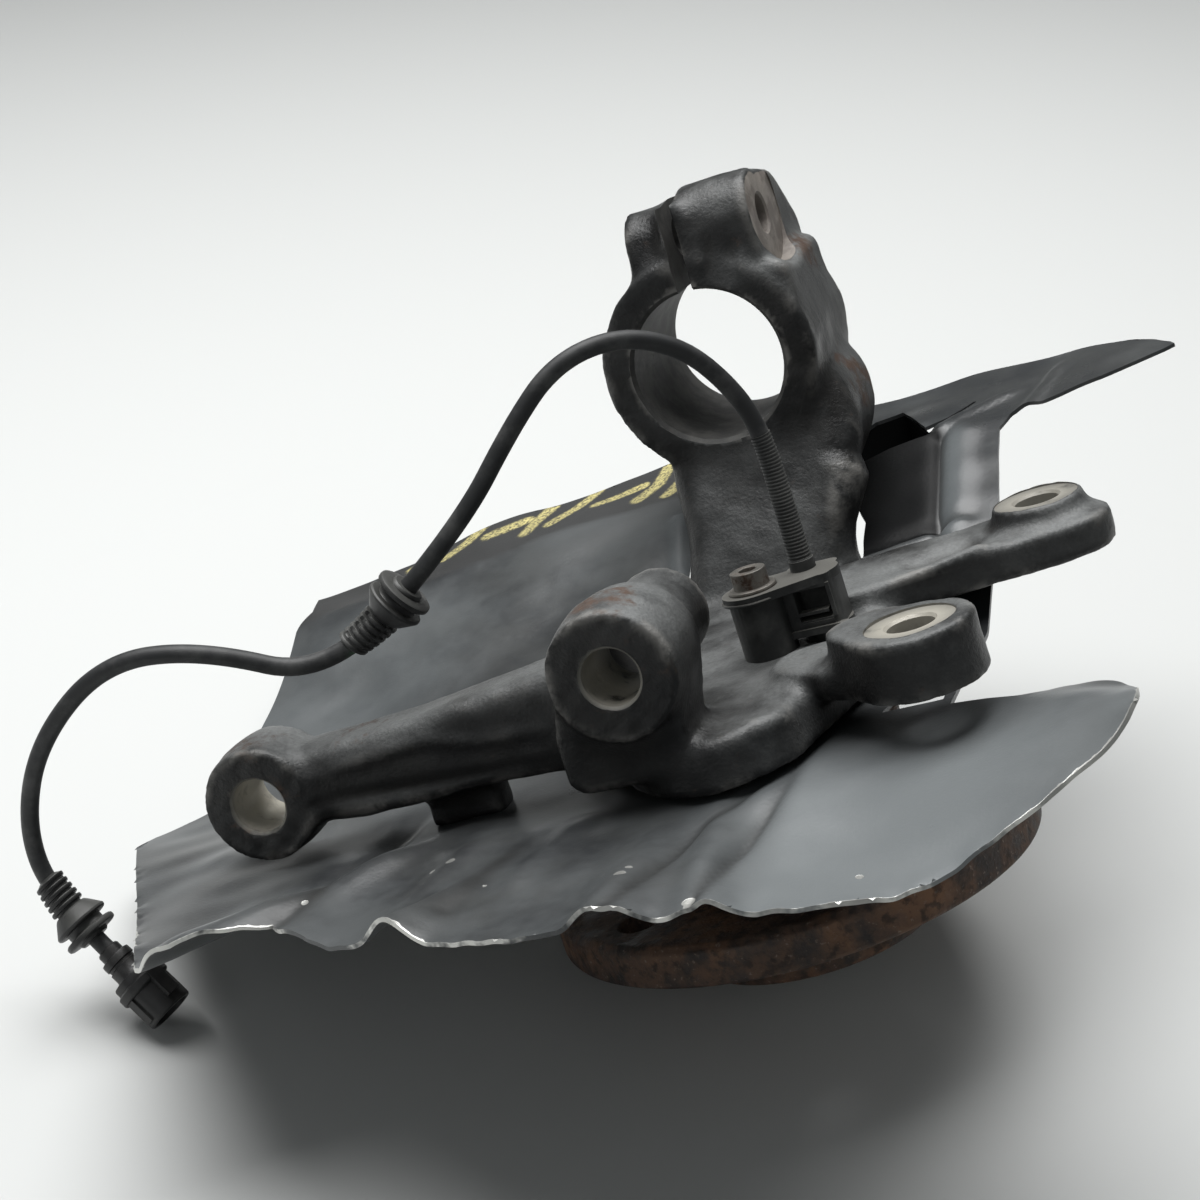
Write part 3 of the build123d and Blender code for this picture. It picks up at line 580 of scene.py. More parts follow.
for (ear_x, ear_y), ear_low in zip(ear_spots, (72.5, 73.0)):
    cutters.append(turned([(0, ear_low - 8), (6.6, ear_low - 8), (6.6, 88.6), (7.4, 89.4), (12.6, 89.4),
                           (12.6, 95.0), (0, 95.0)], (ear_x, ear_y, 0.0), (0, 0, 1), 56))
casting_mesh = cut(casting_mesh, cutters)
points = mesh_points(casting_mesh)
normals = mesh_normals(casting_mesh)

# masks: worn outer edges, painted shade in the inner corners, rust, and the dust with a painted highlight on
# the faces that look up
offset = neighbour_gap(casting_mesh)(points)
bulge = -np.sum(offset * normals, axis=1)
for _ in range(4):
    bulge += 0.7 * neighbour_gap(casting_mesh)(bulge.reshape(-1, 1))[:, 0]
paint_mask(casting_mesh, "worn", np.clip((bulge - 0.035) / 0.10, 0.0, 1.0))
# painted shade: the inner corners are darkened
paint_mask(casting_mesh, "corner", np.clip((-bulge - 0.015) / 0.06, 0.0, 1.0))
# faces that look up take the dust, and with it a painted highlight of the light from above
upward = np.clip((normals @ lying_turn.T)[:, 2], 0.0, 1.0)
paint_mask(casting_mesh, "upward", upward ** 1.5)


def patches(points, places, slope):
    """A mask round some places, each with its centre, radius and strength."""
    mask = np.zeros(len(points))
    for centre, reach, strength in places:
        gap = np.linalg.norm(points - np.array(centre), axis=1)
        mask = np.maximum(mask, strength * np.clip(slope * (1.0 - gap / reach), 0.0, 1.0))
    return mask


rusty_places = (((0.0, -88.0, 121.0), 17.0, 0.5), ((-122.0, -72.0, 99.0), 15.0, 0.45),
                ((-121.7, -84.0, 81.3), 17.0, 0.3), ((0.0, -102.0, 101.0), 17.0, 0.25),
                ((33.0, 96.0, 172.0), 12.0, 0.6), ((40.0, 88.0, 128.0), 17.0, 0.5),
                ((-16.0, 82.0, 199.0), 10.0, 0.3), ((-90.0, -72.0, 96.0), 14.0, 0.35),
                ((94.0, 32.0, 74.0), 14.0, 0.4))
# pale cream: worn metal at the caliper ear faces, and painted light inside the ball joint eye and the
# steering arm eye
rubbed_and_lit_places = (((0.0, -86.0, 101.0), 17.0, 1.0), ((-121.7, -67.0, 81.3), 17.0, 1.0),
                 ((*ear_spots[0], 85.0), 15.0, 0.65), ((*ear_spots[1], 85.0), 15.0, 0.42))
paint_mask(casting_mesh, "rust", patches(points, rusty_places, 1.6))
paint_mask(casting_mesh, "rubbed_and_lit", patches(points, rubbed_and_lit_places, 4.0))
paint_mask(casting_mesh, "lug", np.clip((points[:, 0] - 25.0), 0, 1) * np.clip(points[:, 2] - 160.0, 0, 1))
set_points(casting_mesh, to_row(points))
shade(casting_mesh, 38.0)
# only the cut faces have crisp edges
cut_faces = np.empty(len(casting_mesh.polygons), dtype=np.int32)
casting_mesh.polygons.foreach_get("material_index", cut_faces)
face_sizes = np.empty(len(casting_mesh.polygons), dtype=np.int32)
casting_mesh.polygons.foreach_get("loop_total", face_sizes)
side_edges = np.empty(len(casting_mesh.loops), dtype=np.int32)
casting_mesh.loops.foreach_get("edge_index", side_edges)
crisp = np.zeros(len(casting_mesh.edges), dtype=bool)
crisp[side_edges[np.repeat(cut_faces == 1, face_sizes)]] = True
sharp = np.empty(len(casting_mesh.edges), dtype=bool)
casting_mesh.edges.foreach_get("use_edge_sharp", sharp)
casting_mesh.edges.foreach_set("use_edge_sharp", sharp & crisp)
casting = in_scene("knuckle_casting", casting_mesh)


def attribute(tree, name):
    """One of the piece's own masks."""
    return add_node(tree, "ShaderNodeAttribute", attribute_name=name).outputs["Fac"]


# Rust: brown bloom where a mask allows it, broken up by its own noise
rust_group, rust_in, rust_out = new_group(
    "rust", {"Color": ("Color", (0.02, 0.02, 0.02, 1)), "Amount": ("Float", 0.0), "Size": ("Float", 160.0)},
    {"Color": ("Color", None), "Bloom": ("Float", None)})
rust_spot = add_node(rust_group, "ShaderNodeTexCoord").outputs["Object"]
rust_noise = add_node(rust_group, "ShaderNodeTexNoise",
                      {"Vector": rust_spot, "Scale": rust_in.outputs["Size"], "Detail": 7.0,
                       "Roughness": 0.68})
rust_tint = add_node(rust_group, "ShaderNodeTexNoise",
                     {"Vector": rust_spot,
                      "Scale": times(rust_group, rust_in.outputs["Size"], 3.1),
                      "Detail": 3.0})
rust_bloom = ramp(rust_group, plus(rust_group, rust_noise.outputs[0],
                                   times(rust_group, rust_in.outputs["Amount"], 0.45)),
                  0.62, 0.84)
rust_brown = mix(rust_group, rust_tint.outputs[0], (0.040, 0.023, 0.016, 1), (0.115, 0.074, 0.053, 1))
rust_group.links.new(mix(rust_group, rust_bloom, rust_in.outputs["Color"], rust_brown),
                     rust_out.inputs["Color"])
rust_group.links.new(rust_bloom, rust_out.inputs["Bloom"])


def casting_paint(made):
    """Thin black paint on sand-cast skin: dusty from above, with a painted highlight on the faces that look
    up and painted shade in the inner corners, worn at the edges, rusty in places.
    """
    made.use_nodes = True
    tree = made.node_tree
    skin = tree.nodes["Principled BSDF"]
    skin.inputs["Specular IOR Level"].default_value = 0.38
    grain = place_group(tree, grain_group, Size=900.0, Blotch=55.0)
    wide = place_group(tree, grain_group, Size=180.0, Blotch=20.0)
    colour = mix(tree, ramp(tree, grain.outputs["Patch"], 0.35, 0.7), (0.0065, 0.0065, 0.0068, 1),
                 (0.017, 0.0163, 0.0155, 1))
    # pale bluish grey on the faces that look up: dust, and a painted highlight of the light from above
    dust = times(tree, attribute(tree, "upward"),
                 ramp(tree, wide.outputs["Patch"], 0.30, 0.60))
    dust = times(tree, dust, plus(
        tree, 0.35, times(tree, grain.outputs["Height"], 0.9)), clamp=True)
    colour = mix(tree, dust, colour, (0.185, 0.192, 0.190, 1))
    # painted shade: the inner corners are darkened to brown-black over the dust
    recess_shade = times(tree, attribute(tree, "corner"), 0.6)
    colour = mix(tree, recess_shade, colour, (0.020, 0.018, 0.015, 1))
    rusted = place_group(tree, rust_group, Color=colour, Amount=attribute(tree, "rust"), Size=150.0)
    worn = times(tree, attribute(tree, "worn"),
                 ramp(tree, grain.outputs["Patch"], 0.46, 0.60))
    worn = times(tree, worn, 0.45)
    tree.links.new(mix(tree, worn, rusted.outputs["Color"], (0.30, 0.29, 0.27, 1)),
                   skin.inputs["Base Color"])
    shine = graded(tree, wide.outputs["Patch"], 0.30, 0.52, 0.3, 0.7)
    rough = plus(tree, shine, times(tree, rusted.outputs["Bloom"], 0.3))
    rough = plus(tree, rough, times(tree, dust, 0.12), clamp=True)
    tree.links.new(rough, skin.inputs["Roughness"])
    height = plus(tree, grain.outputs["Height"],
                  times(tree, wide.outputs["Height"], 0.8))
    bumped(tree, skin, height, 0.0005, 0.5)


def casting_cut(made):
    """Machined iron, gone grey and brown, still pale where bolts and studs have worn it, and pale cream
    inside the eye bores as painted light that falls through them.
    """
    made.use_nodes = True
    tree = made.node_tree
    skin = tree.nodes["Principled BSDF"]
    grain = place_group(tree, grain_group, Size=900.0, Blotch=120.0)
    colour = mix(tree, ramp(tree, grain.outputs["Patch"], 0.35, 0.65), (0.040, 0.040, 0.038, 1),
                 (0.085, 0.083, 0.078, 1))
    rusted = place_group(tree, rust_group, Color=colour, Amount=attribute(tree, "rust"), Size=260.0)
    # pale cream: worn metal at the ear faces, painted light in the eye bores
    rubbed_and_lit_share = times(tree, attribute(tree, "rubbed_and_lit"),
                   ramp(tree, grain.outputs["Patch"], 0.24, 0.46))
    colour = mix(tree, attribute(tree, "lug"), rusted.outputs["Color"], mix(
        tree, ramp(tree, grain.outputs["Patch"], 0.40, 0.60), (0.150, 0.130, 0.115, 1),
        (0.250, 0.225, 0.200, 1)))
    tree.links.new(mix(tree, rubbed_and_lit_share, colour, (0.58, 0.55, 0.47, 1)), skin.inputs["Base Color"])
    tree.links.new(times(tree, rubbed_and_lit_share, 0.25), skin.inputs["Metallic"])
    rough = graded(tree, rubbed_and_lit_share, 0.62, 0.34)
    tree.links.new(rough, skin.inputs["Roughness"])
    bumped(tree, skin, grain.outputs["Height"], 0.0002, 0.5)


casting_paint(casting_mesh.materials[0])
casting_cut(casting_mesh.materials[1])
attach(casting, "knuckle")
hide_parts("knuckle")

# ======== Wheel hub ========
# Forged steel flange with its bearing barrel and pilot, turned all over and drilled for five
# wheel bolts. It carries no coating, so its rim has rusted brown and flakes.


def hub_rust():
    """Scaly brown rust with darker pits, and a little bare steel showing through."""
    made, tree, skin = new_material("hub_rust")
    grain = place_group(tree, grain_group, Size=700.0, Blotch=90.0)
    wide = place_group(tree, grain_group, Size=240.0, Blotch=26.0)
    scale = ramp(tree, grain.outputs["Patch"], 0.38, 0.62)
    colour = mix(tree, scale, (0.028, 0.018, 0.014, 1), (0.105, 0.064, 0.044, 1))
    colour = mix(tree, ramp(tree, wide.outputs["Patch"], 0.50, 0.68), colour, (0.190, 0.100, 0.055, 1))
    spots = times(tree, ramp(tree, grain.outputs["Height"], 0.60, 0.72), 0.6)
    colour = mix(tree, spots, colour, (0.27, 0.21, 0.17, 1))
    black = ramp(tree, wide.outputs["Height"], 0.47, 0.66)
    tree.links.new(mix(tree, times(tree, black, 0.7), colour, (0.012, 0.010, 0.009, 1)),
                   skin.inputs["Base Color"])
    rough = graded(tree, scale, 0.55, 0.85)
    tree.links.new(rough, skin.inputs["Roughness"])
    height = plus(tree, grain.outputs["Height"], times(tree, scale, 0.6))
    bumped(tree, skin, height, 0.0005, 0.7)
    return made


def softened(node, width, angle=30.0, extras=()):
    """A copy of the CAD node with its sharp edges broken; extra shapes are added to it."""
    shape = bmesh.new()
    shape.from_mesh(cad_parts[node].data)
    bmesh.ops.remove_doubles(shape, verts=shape.verts, dist=2e-6)
    bmesh.ops.dissolve_limit(shape, angle_limit=math.radians(1.0), verts=shape.verts, edges=shape.edges)
    for number, extra in enumerate(extras):
        extra.transform(lying @ Matrix.Diagonal((MM, MM, MM, 1.0)))
        shape.from_mesh(shape_mesh(extra, f"{node}_extra_{number}"))
    made = shape_mesh(shape, node + "_soft")
    shade(made, angle)
    return modified(made, "BEVEL", width=width * MM, segments=2, limit_method="ANGLE",
                    angle_limit=math.radians(angle), harden_normals=True)


def new_piece(name, mesh, material, body, node):
    """Puts a finished mesh in the scene in place of its CAD node."""
    mesh.materials.clear()
    mesh.materials.append(material)
    piece = in_scene(name, mesh)
    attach(piece, body)
    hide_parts(node)
    return piece


new_piece("wheel_hub_forging", softened("wheel_hub", 0.7), hub_rust(), "hub", "wheel_hub")


def dress(node, material):
    """Gives a CAD node, whose own shape is right, its finish."""
    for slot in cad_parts[node].material_slots:
        slot.material = material


# ======== Wheel bearing ========
# Double row angular contact bearing that the hub's barrel forms the outside of: two ground inner
# rings, balls in moulded cages, a rubber seal and the toothed ring that the sensor reads.


def ground_steel(name, light, rough):
    """Ground bearing steel with a film of grease in places."""
    made, tree, skin = new_material(name, Metallic=0.9)
    grain = place_group(tree, grain_group, Size=1500.0, Blotch=110.0)
    film = ramp(tree, grain.outputs["Patch"], 0.45, 0.70)
    tree.links.new(mix(tree, film, (light, light, light * 0.98, 1),
                       (light * 0.45, light * 0.40, light * 0.30, 1)),
                   skin.inputs["Base Color"])
    shine = graded(tree, film, rough, rough + 0.25)
    tree.links.new(shine, skin.inputs["Roughness"])
    bumped(tree, skin, grain.outputs["Height"], 0.00002, 0.4)
    return made


def moulded(name, dark, pale, rough, size=1400.0):
    """Moulded plastic or rubber: fine grain, and handling marks a little paler."""
    made, tree, skin = new_material(name)
    grain = place_group(tree, grain_group, Size=size, Blotch=80.0)
    marks = ramp(tree, grain.outputs["Patch"], 0.40, 0.72)
    tree.links.new(mix(tree, marks, (*dark, 1), (*pale, 1)), skin.inputs["Base Color"])
    shine = graded(tree, marks, rough, min(0.95, rough + 0.2))
    tree.links.new(shine, skin.inputs["Roughness"])
    bumped(tree, skin, grain.outputs["Height"], 0.00008, 0.5)
    return made


bearing_steel = ground_steel("bearing_steel", 0.55, 0.22)
for node in ("inner_ring_outboard", "inner_ring_inboard", "ball_row_outboard", "ball_row_inboard"):
    dress(node, bearing_steel)
cage_polymer = moulded("cage_polymer", (0.10, 0.085, 0.055), (0.16, 0.135, 0.09), 0.45)
dress("ball_cage_outboard", cage_polymer)
dress("ball_cage_inboard", cage_polymer)
dress("bearing_seal", moulded("seal_rubber", (0.016, 0.016, 0.016), (0.045, 0.042, 0.038), 0.6))
dress("encoder_ring", hub_rust())

# ======== Spindle nut and grease cap ========
# A collared steel nut clamps the inner rings on the spindle, and a pressed steel cap is driven
# into the pilot to keep the grease in.


def dull_zinc(name, rusty, size=260.0):
    """Zinc gone dull grey, with brown creeping in from the edges."""
    made, tree, skin = new_material(name, Metallic=0.55)
    grain = place_group(tree, grain_group, Size=1100.0, Blotch=130.0)
    colour = mix(tree, ramp(tree, grain.outputs["Patch"], 0.36, 0.66), (0.15, 0.14, 0.125, 1),
                 (0.27, 0.255, 0.23, 1))
    rusted = place_group(tree, rust_group, Color=colour, Amount=rusty, Size=size)
    tree.links.new(rusted.outputs["Color"], skin.inputs["Base Color"])
    shine = graded(tree, rusted.outputs["Bloom"], 0.42, 0.8)
    tree.links.new(shine, skin.inputs["Roughness"])
    bumped(tree, skin, grain.outputs["Height"], 0.00012, 0.6)
    return made


fastener_zinc = dull_zinc("fastener_zinc", 0.35)
new_piece("spindle_nut_body", softened("spindle_nut", 0.6), fastener_zinc, "knuckle", "spindle_nut")
new_piece("grease_cap_pressing", softened("grease_cap", 0.35), dull_zinc("cap_zinc", 0.25, 120.0), "hub",
          "grease_cap")

# ======== Dust shield ========
# One sheet of 1.2 mm steel, pressed and painted dark grey, held under the casting by three
# screws. A knock has waved its front edge, creased it and torn it open behind the neck.
sheet_t = 1.2
shield_r, tab_r = 166.0, 194.0
sheet_top = 59.97
edge_dents = ((-80.0, 5.5, 2.0), (-88.5, 6.0, 2.8), (-110.0, 7.0, 2.8), (-130.0, 7.0, 3.0))
# pressed or knocked lines: path over the sheet, height, half width, both in millimetres
sheet_lines = (
    (((-102.0, -136.0), (-95.0, -114.0), (-88.0, -82.0), (-84.0, -46.0)), -2.2, 4.5),
    (((-92.0, -136.0), (-85.0, -112.0), (-77.0, -84.0)), 1.2, 6.0),
    (((-64.0, -141.0), (-58.0, -116.0), (-51.0, -84.0)), 2.0, 5.5),
    (((-47.0, -142.0), (-42.0, -116.0), (-36.0, -94.0)), -1.8, 5.5),
    (((-30.0, -130.0), (-26.0, -104.0), (-22.0, -86.0)), 1.3, 4.5),
    (((5.0, -168.0), (9.0, -146.0), (16.0, -110.0), (34.0, -76.0)), -1.3, 2.4),
    (((27.0, -165.0), (28.0, -134.0), (32.0, -108.0), (37.0, -74.0)), -1.8, 2.6),
    (((-150.0, -60.0), (-120.0, -66.0), (-96.0, -62.0)), 0.9, 7.0),
    (((-182.0, 92.0), (-118.0, 60.0), (-66.0, 18.0)), 0.8, 9.0),
    (((56.5, 98.0), (57.5, 62.0), (60.0, 18.0), (64.0, -14.0)), -1.8, 2.6),
    (((64.0, 98.0), (64.5, 60.0), (68.0, 15.0)), 1.6, 4.0),
    (((33.0, 45.5), (45.0, 48.0), (56.5, 50.0), (73.0, 53.0)), 1.3, 2.4),
    (((33.0, 51.5), (45.0, 54.0), (56.5, 56.0), (73.0, 59.0)), -1.5, 3.0),
    (((56.0, 101.0), (64.4, 110.9), (74.3, 120.0), (84.0, 126.0)), 1.4, 2.6),
    (((-33.0, 88.5), (-27.7, 50.3)), 1.3, 2.2),
    (((84.0, 104.0), (90.0, 121.0), (96.0, 137.0)), 1.5, 2.6),
)


def fold_line(x):
    """Where the sloping panel turns into the outer strip."""
    return 103.0 - 23.0 * (np.maximum(0.0, -25.0 - x) / 150.0) ** 1.6


def sheet_rise(flat):
    """Height of the sheet's upper face over each point."""
    x, y = flat.T
    fold = fold_line(x)
    run = np.clip(y, 0.0, 5.0)
    rise = 0.04 * run * run + 0.40 * np.maximum(0.0, np.minimum(y, fold) - 5.0)
    rise += 0.15 * np.maximum(0.0, y - fold)
    angle = np.degrees(np.arctan2(y, x))
    reach = np.maximum(0.0, np.hypot(x, y) - 88.0) / (shield_r - 88.0)
    bend = -13.5 * np.exp(-((angle + 65.0) / 14.0) ** 2) + 9.0 * np.exp(-((angle + 37.0) / 5.5) ** 2)
    bend *= np.where(y > -40.0, np.maximum(0.0, 1.0 - (y + 40.0) / 25.0), 1.0)
    for dent_angle, height, spread in edge_dents:
        bend += np.where(y < 0.0, height * np.exp(-((angle - dent_angle) / spread) ** 2), 0.0)
    return sheet_top + rise + bend * np.minimum(reach, 1.3) ** 1.2


def on_rim(radius, degrees):
    """The point at a radius and angle round the hub."""
    return radius * math.cos(math.radians(degrees)), radius * math.sin(math.radians(degrees))


def rim_arc(radius, start, end, count):
    """Points of an arc round the hub."""
    return [on_rim(radius, start + (end - start) * i / count) for i in range(count + 1)]


def ring_points(centre, radius, count=36):
    """A full circle of points."""
    return [(centre[0] + radius * math.cos(2 * math.pi * i / count),
             centre[1] + radius * math.sin(2 * math.pi * i / count)) for i in range(count)]


def soft_line(points, step=1.5):
    """A smooth line through the points, in even steps."""
    points = np.array(points, dtype=float)
    ends = np.vstack([2 * points[0] - points[1], points, 2 * points[-1] - points[-2]])
    out = []
    for a, b, c, d in zip(ends, ends[1:], ends[2:], ends[3:]):
        count = max(2, int(np.linalg.norm(c - b) / step))
        for i in range(count):
            t = i / count
            out.append(tuple(0.5 * (2 * b + (c - a) * t + (2 * a - 5 * b + 4 * c - d) * t ** 2
                                    + (3 * b - 3 * c + d - a) * t ** 3)))
    out.append(tuple(points[-1]))
    return out


def even_loop(points, step=1.5):
    """A closed outline with no edge longer than the step."""
    out = []
    for start, end in zip(points, points[1:] + points[:1]):
        count = max(1, int(math.ceil(math.dist(start, end) / step)))
        out += [(start[0] + (end[0] - start[0]) * i / count, start[1] + (end[1] - start[1]) * i / count)
                for i in range(count)]
    return out


def inside_loop(points, loop):
    """Which points lie inside a closed outline."""
    x, y = points.T
    inside = np.zeros(len(points), dtype=bool)
    for (x1, y1), (x2, y2) in zip(loop, loop[1:] + loop[:1]):
        if y1 != y2:
            crosses = (y1 > y) != (y2 > y)
            inside ^= crosses & (x < (x2 - x1) * (y - y1) / (y2 - y1) + x1)
    return inside


sheet_edge = [(74.0, -56.4),
              *soft_line([(85.0, -61.0), (97.0, -66.6), (107.0, -66.8), (115.5, -66.0), (121.0, -69.0),
                          (126.0, -79.0), (129.5, -92.0), (130.8, -102.0), (129.5, -109.0),
                          (126.5, -113.0), (122.0, -118.0), on_rim(168.3, -46.5),
                          on_rim(168.6, -50.0), on_rim(shield_r, -56.0)]),
              *rim_arc(shield_r, -56.5, -127.0, 130),
              on_rim(shield_r, -127.5), on_rim(tab_r - 2.0, -129.5),
              *soft_line([on_rim(tab_r, -130.0), on_rim(tab_r + 3.5, -132.0), on_rim(tab_r + 4.0, -135.5)]),
              on_rim(tab_r + 4.0, -170.5), on_rim(tab_r + 1.5, -173.5),
              (-187.0, -12.0), (-175.0, 0.0), (-175.0, 78.0), (-172.0, 88.0),
              *soft_line([(-175.0, 101.0), (-110.0, 121.0), (-40.0, 135.0), (28.0, 144.0), (85.0, 145.0),
                          (117.0, 139.5)]),
              (125.0, 135.0), (130.5, 129.0), (132.0, 126.0), (129.0, 123.5), (109.0, 114.5), (92.0, 109.5),
              (80.0, 104.0), (76.0, 97.0), (77.0, 60.0)]
sheet_edge = even_loop(sheet_edge)
# the neck's opening, with the tear that runs on from its right rear corner
neck_corners = [(33.5, 40.0), (33.5, 66.0), (31.0, 72.0), (29.0, 80.0), (29.0, 95.5), (39.0, 98.6),
                (53.5, 100.8), (60.0, 108.6), (66.2, 121.8), (65.2, 121.8), (58.0, 110.4),
                (51.2, 105.6), (39.9, 129.4), (30.8, 125.5), (26.0, 116.0), (20.0, 107.0),
                (-17.0, 107.0), (-25.8, 98.0), (-25.8, 38.0), (-18.5, 28.0), (21.5, 28.0)]
sheet_holes = [
    even_loop(ring_points((0.0, 0.0), 46.0, 60)),
    even_loop([(58.0 * math.cos(math.pi * i / 40), 58.0 * math.sin(math.pi * i / 40)) for i in range(41)]),
    even_loop(neck_corners),
    even_loop([(53.5, -51.0), (60.0, -17.0), (71.5, -20.0), (71.0, -51.0)]),
    ring_points((36.5, -16.0), 9.0, 30)]
sheet_holes += [ring_points(on_rim(51.0, angle), 3.2, 20) for angle in (-12.0, -90.0, -168.0)]

# loose strokes of a yellow paint pen along the strip, worn thin
marker_strokes = (
    ((-139.0, 107.0), (-127.0, 121.0)), ((-125.0, 106.0), (-118.0, 113.0), (-113.0, 123.5)),
    ((-110.0, 112.5), (-96.0, 117.5)), ((-94.0, 107.0), (-88.5, 125.0)),
    ((-85.0, 109.0), (-77.5, 117.0), (-72.0, 129.5)), ((-69.0, 115.5), (-53.0, 121.5)),
    ((-52.5, 110.5), (-46.5, 119.0), (-45.0, 132.0)), ((-41.0, 108.0), (-36.0, 120.0), (-26.0, 129.5)),
)
# places where a knock has taken the paint off, and their radius
chips = (((-57.0, -107.0), 1.7), ((-62.0, -109.0), 1.3), ((4.0, -145.0), 1.9), ((5.0, -141.0), 1.2),
         ((-62.0, -57.0), 1.6), ((-67.0, -68.0), 1.3), ((25.6, -161.5), 2.6), ((-40.0, -128.0), 1.2),
         ((61.0, -140.0), 1.4), ((-96.0, -120.0), 1.5))


def near_tree(corners):
    """A search tree over the points of an outline."""
    tree = kdtree.KDTree(len(corners))
    for i, corner in enumerate(corners):
        tree.insert((*corner, 0.0), i)
    tree.balance()
    return tree


def sheet_net(edge, holes, step, fine_paths=()):
    """Triangles that fill an outline less its holes, finer beside the given lines."""
    loops = [edge, *holes]
    corners, borders = [], []
    for loop in loops:
        first = len(corners)
        corners += loop
        borders += [(first + i, first + (i + 1) % len(loop)) for i in range(len(loop))]
    low, high = np.min(edge, axis=0), np.max(edge, axis=0)
    rows = np.arange(low[1], high[1], step * 0.866)
    grid = np.array([(x + (step / 2 if i % 2 else 0.0), y) for i, y in enumerate(rows)
                     for x in np.arange(low[0], high[0], step)])
    for path in fine_paths:
        path = np.array(path)
        around = np.array([(x, y) for x in np.arange(path[:, 0].min() - 4, path[:, 0].max() + 4, 0.7)
                           for y in np.arange(path[:, 1].min() - 4, path[:, 1].max() + 4, 0.7)])
        grid = np.vstack([grid, around[path_gap(around, path)[0] < 3.5]])
    grid = grid[inside_loop(grid, edge)]
    for hole in holes:
        grid = grid[~inside_loop(grid, hole)]
    tree = near_tree(corners)
    grid = [p for p in grid if tree.find((*p, 0.0))[2] > step * 0.45]
    spots, _, faces, *_ = geometry.delaunay_2d_cdt([Vector(p) for p in [*corners, *grid]], borders, [],
                                                   0, 1e-5)
    spots = np.array([tuple(spot) for spot in spots])
    faces = np.array([face for face in faces])
    middle = spots[faces].mean(axis=1)
    keep = inside_loop(middle, edge)
    for hole in holes:
        keep &= ~inside_loop(middle, hole)
    faces = faces[keep]
    used = np.unique(faces)
    renumber = np.full(len(spots), -1)
    renumber[used] = np.arange(len(used))
    return spots[used], renumber[faces]


fine_spots = [*marker_strokes, *(((x - 0.5, y), (x + 0.5, y)) for (x, y), _ in chips),
              ((33.0, 46.0), (45.0, 48.5), (56.5, 50.5), (72.0, 53.5)), ((57.0, 98.0), (57.0, 52.0))]
sheet_flat, sheet_faces = sheet_net(sheet_edge, sheet_holes, 2.1, fine_spots)
sheet_z = sheet_rise(sheet_flat)
# painted shade: the sunk creases are darkened
crease_shade_mask = np.zeros(len(sheet_flat))
for path, height, spread in sheet_lines:
    gap, along = path_gap(sheet_flat, path)
    shape = np.exp(-(gap / spread) ** 2) * np.clip(4.0 * (1.0 - along), 0.0, 1.0)
    sheet_z += height * shape
    if height < 0.0:
        crease_shade_mask = np.maximum(crease_shade_mask, np.exp(-(gap / spread / 0.8) ** 2)
                                 * np.clip(3.0 * (1.0 - along), 0, 1))
flat3 = np.column_stack([sheet_flat, np.zeros(len(sheet_flat))])
far = np.clip((np.hypot(*sheet_flat.T) - 62.0) / 30.0, 0.0, 1.0)
sheet_z += far * (0.55 * waves(flat3, 52.0, 3) + 0.10 * waves(flat3, 21.0, 4))
rim_tree = near_tree(sheet_edge)
rim_gap = np.array([rim_tree.find((x, y, 0.0))[2] for x, y in sheet_flat])
front = np.clip((-60.0 - sheet_flat[:, 1]) / 25.0, 0.0, 1.0)
sheet_z += front * np.exp(-(rim_gap / 3.0) ** 2) * (0.2 + 0.22 * waves(flat3, 11.0, 5))
yellow = np.zeros(len(sheet_flat))
for stroke in marker_strokes:
    gap, along = path_gap(sheet_flat, stroke)
    yellow = np.maximum(yellow, np.clip((3.0 - gap) / 0.9, 0.0, 1.0) * (0.75 + 0.25 * along))

# bare steel: a thin line along the knocked front edge, next to none elsewhere, and the chips
bare_steel = 0.78 * np.clip(1.0 - rim_gap / 1.5, 0.0, 1.0) * (0.35 + 0.65 * front)
for spot, reach in chips:
    gap = np.hypot(*(sheet_flat - spot).T)
    bare_steel = np.maximum(bare_steel, 1.1 * np.clip(1.3 - gap / reach, 0.0, 1.0))
# painted shade: the sunk side right of the neck is painted glossy near black, clean of dust, with its
# specular shine turned down
side_y = sheet_flat[:, 1] - 50.0 - 0.11 * (sheet_flat[:, 0] - 34.0)
painted_shade = (np.clip((57.6 - sheet_flat[:, 0]) / 1.6, 0, 1) * np.clip((sheet_flat[:, 0] - 27.0) / 2.0, 0, 1)
          * np.clip(side_y / 1.6, 0, 1) * np.clip((104.0 - sheet_flat[:, 1]) / 3.0, 0, 1))
# painted highlights: a pale band down the panel right of the neck, a streak by the neck's left edge, and
# paler paint at the far left of the panel
painted_sheen = (np.exp(-((sheet_flat[:, 0] - 61.5) / 4.0) ** 2) * np.clip((sheet_flat[:, 1] + 10.0) / 60.0, 0, 1)
          * np.clip((104.0 - sheet_flat[:, 1]) / 8.0, 0, 1))
streak_gap, _ = path_gap(sheet_flat, ((-33.0, 88.5), (-27.7, 50.3)))
painted_sheen = np.maximum(painted_sheen, 0.8 * np.exp(-(streak_gap / 3.5) ** 2))
painted_sheen = np.maximum(painted_sheen, 0.45 * np.clip((-88.0 - sheet_flat[:, 0]) / 40.0, 0, 1)
                    * np.clip((fold_line(sheet_flat[:, 0]) - sheet_flat[:, 1]) / 20.0, 0, 1)
                    * np.clip((sheet_flat[:, 1] + 5.0) / 20.0, 0, 1))

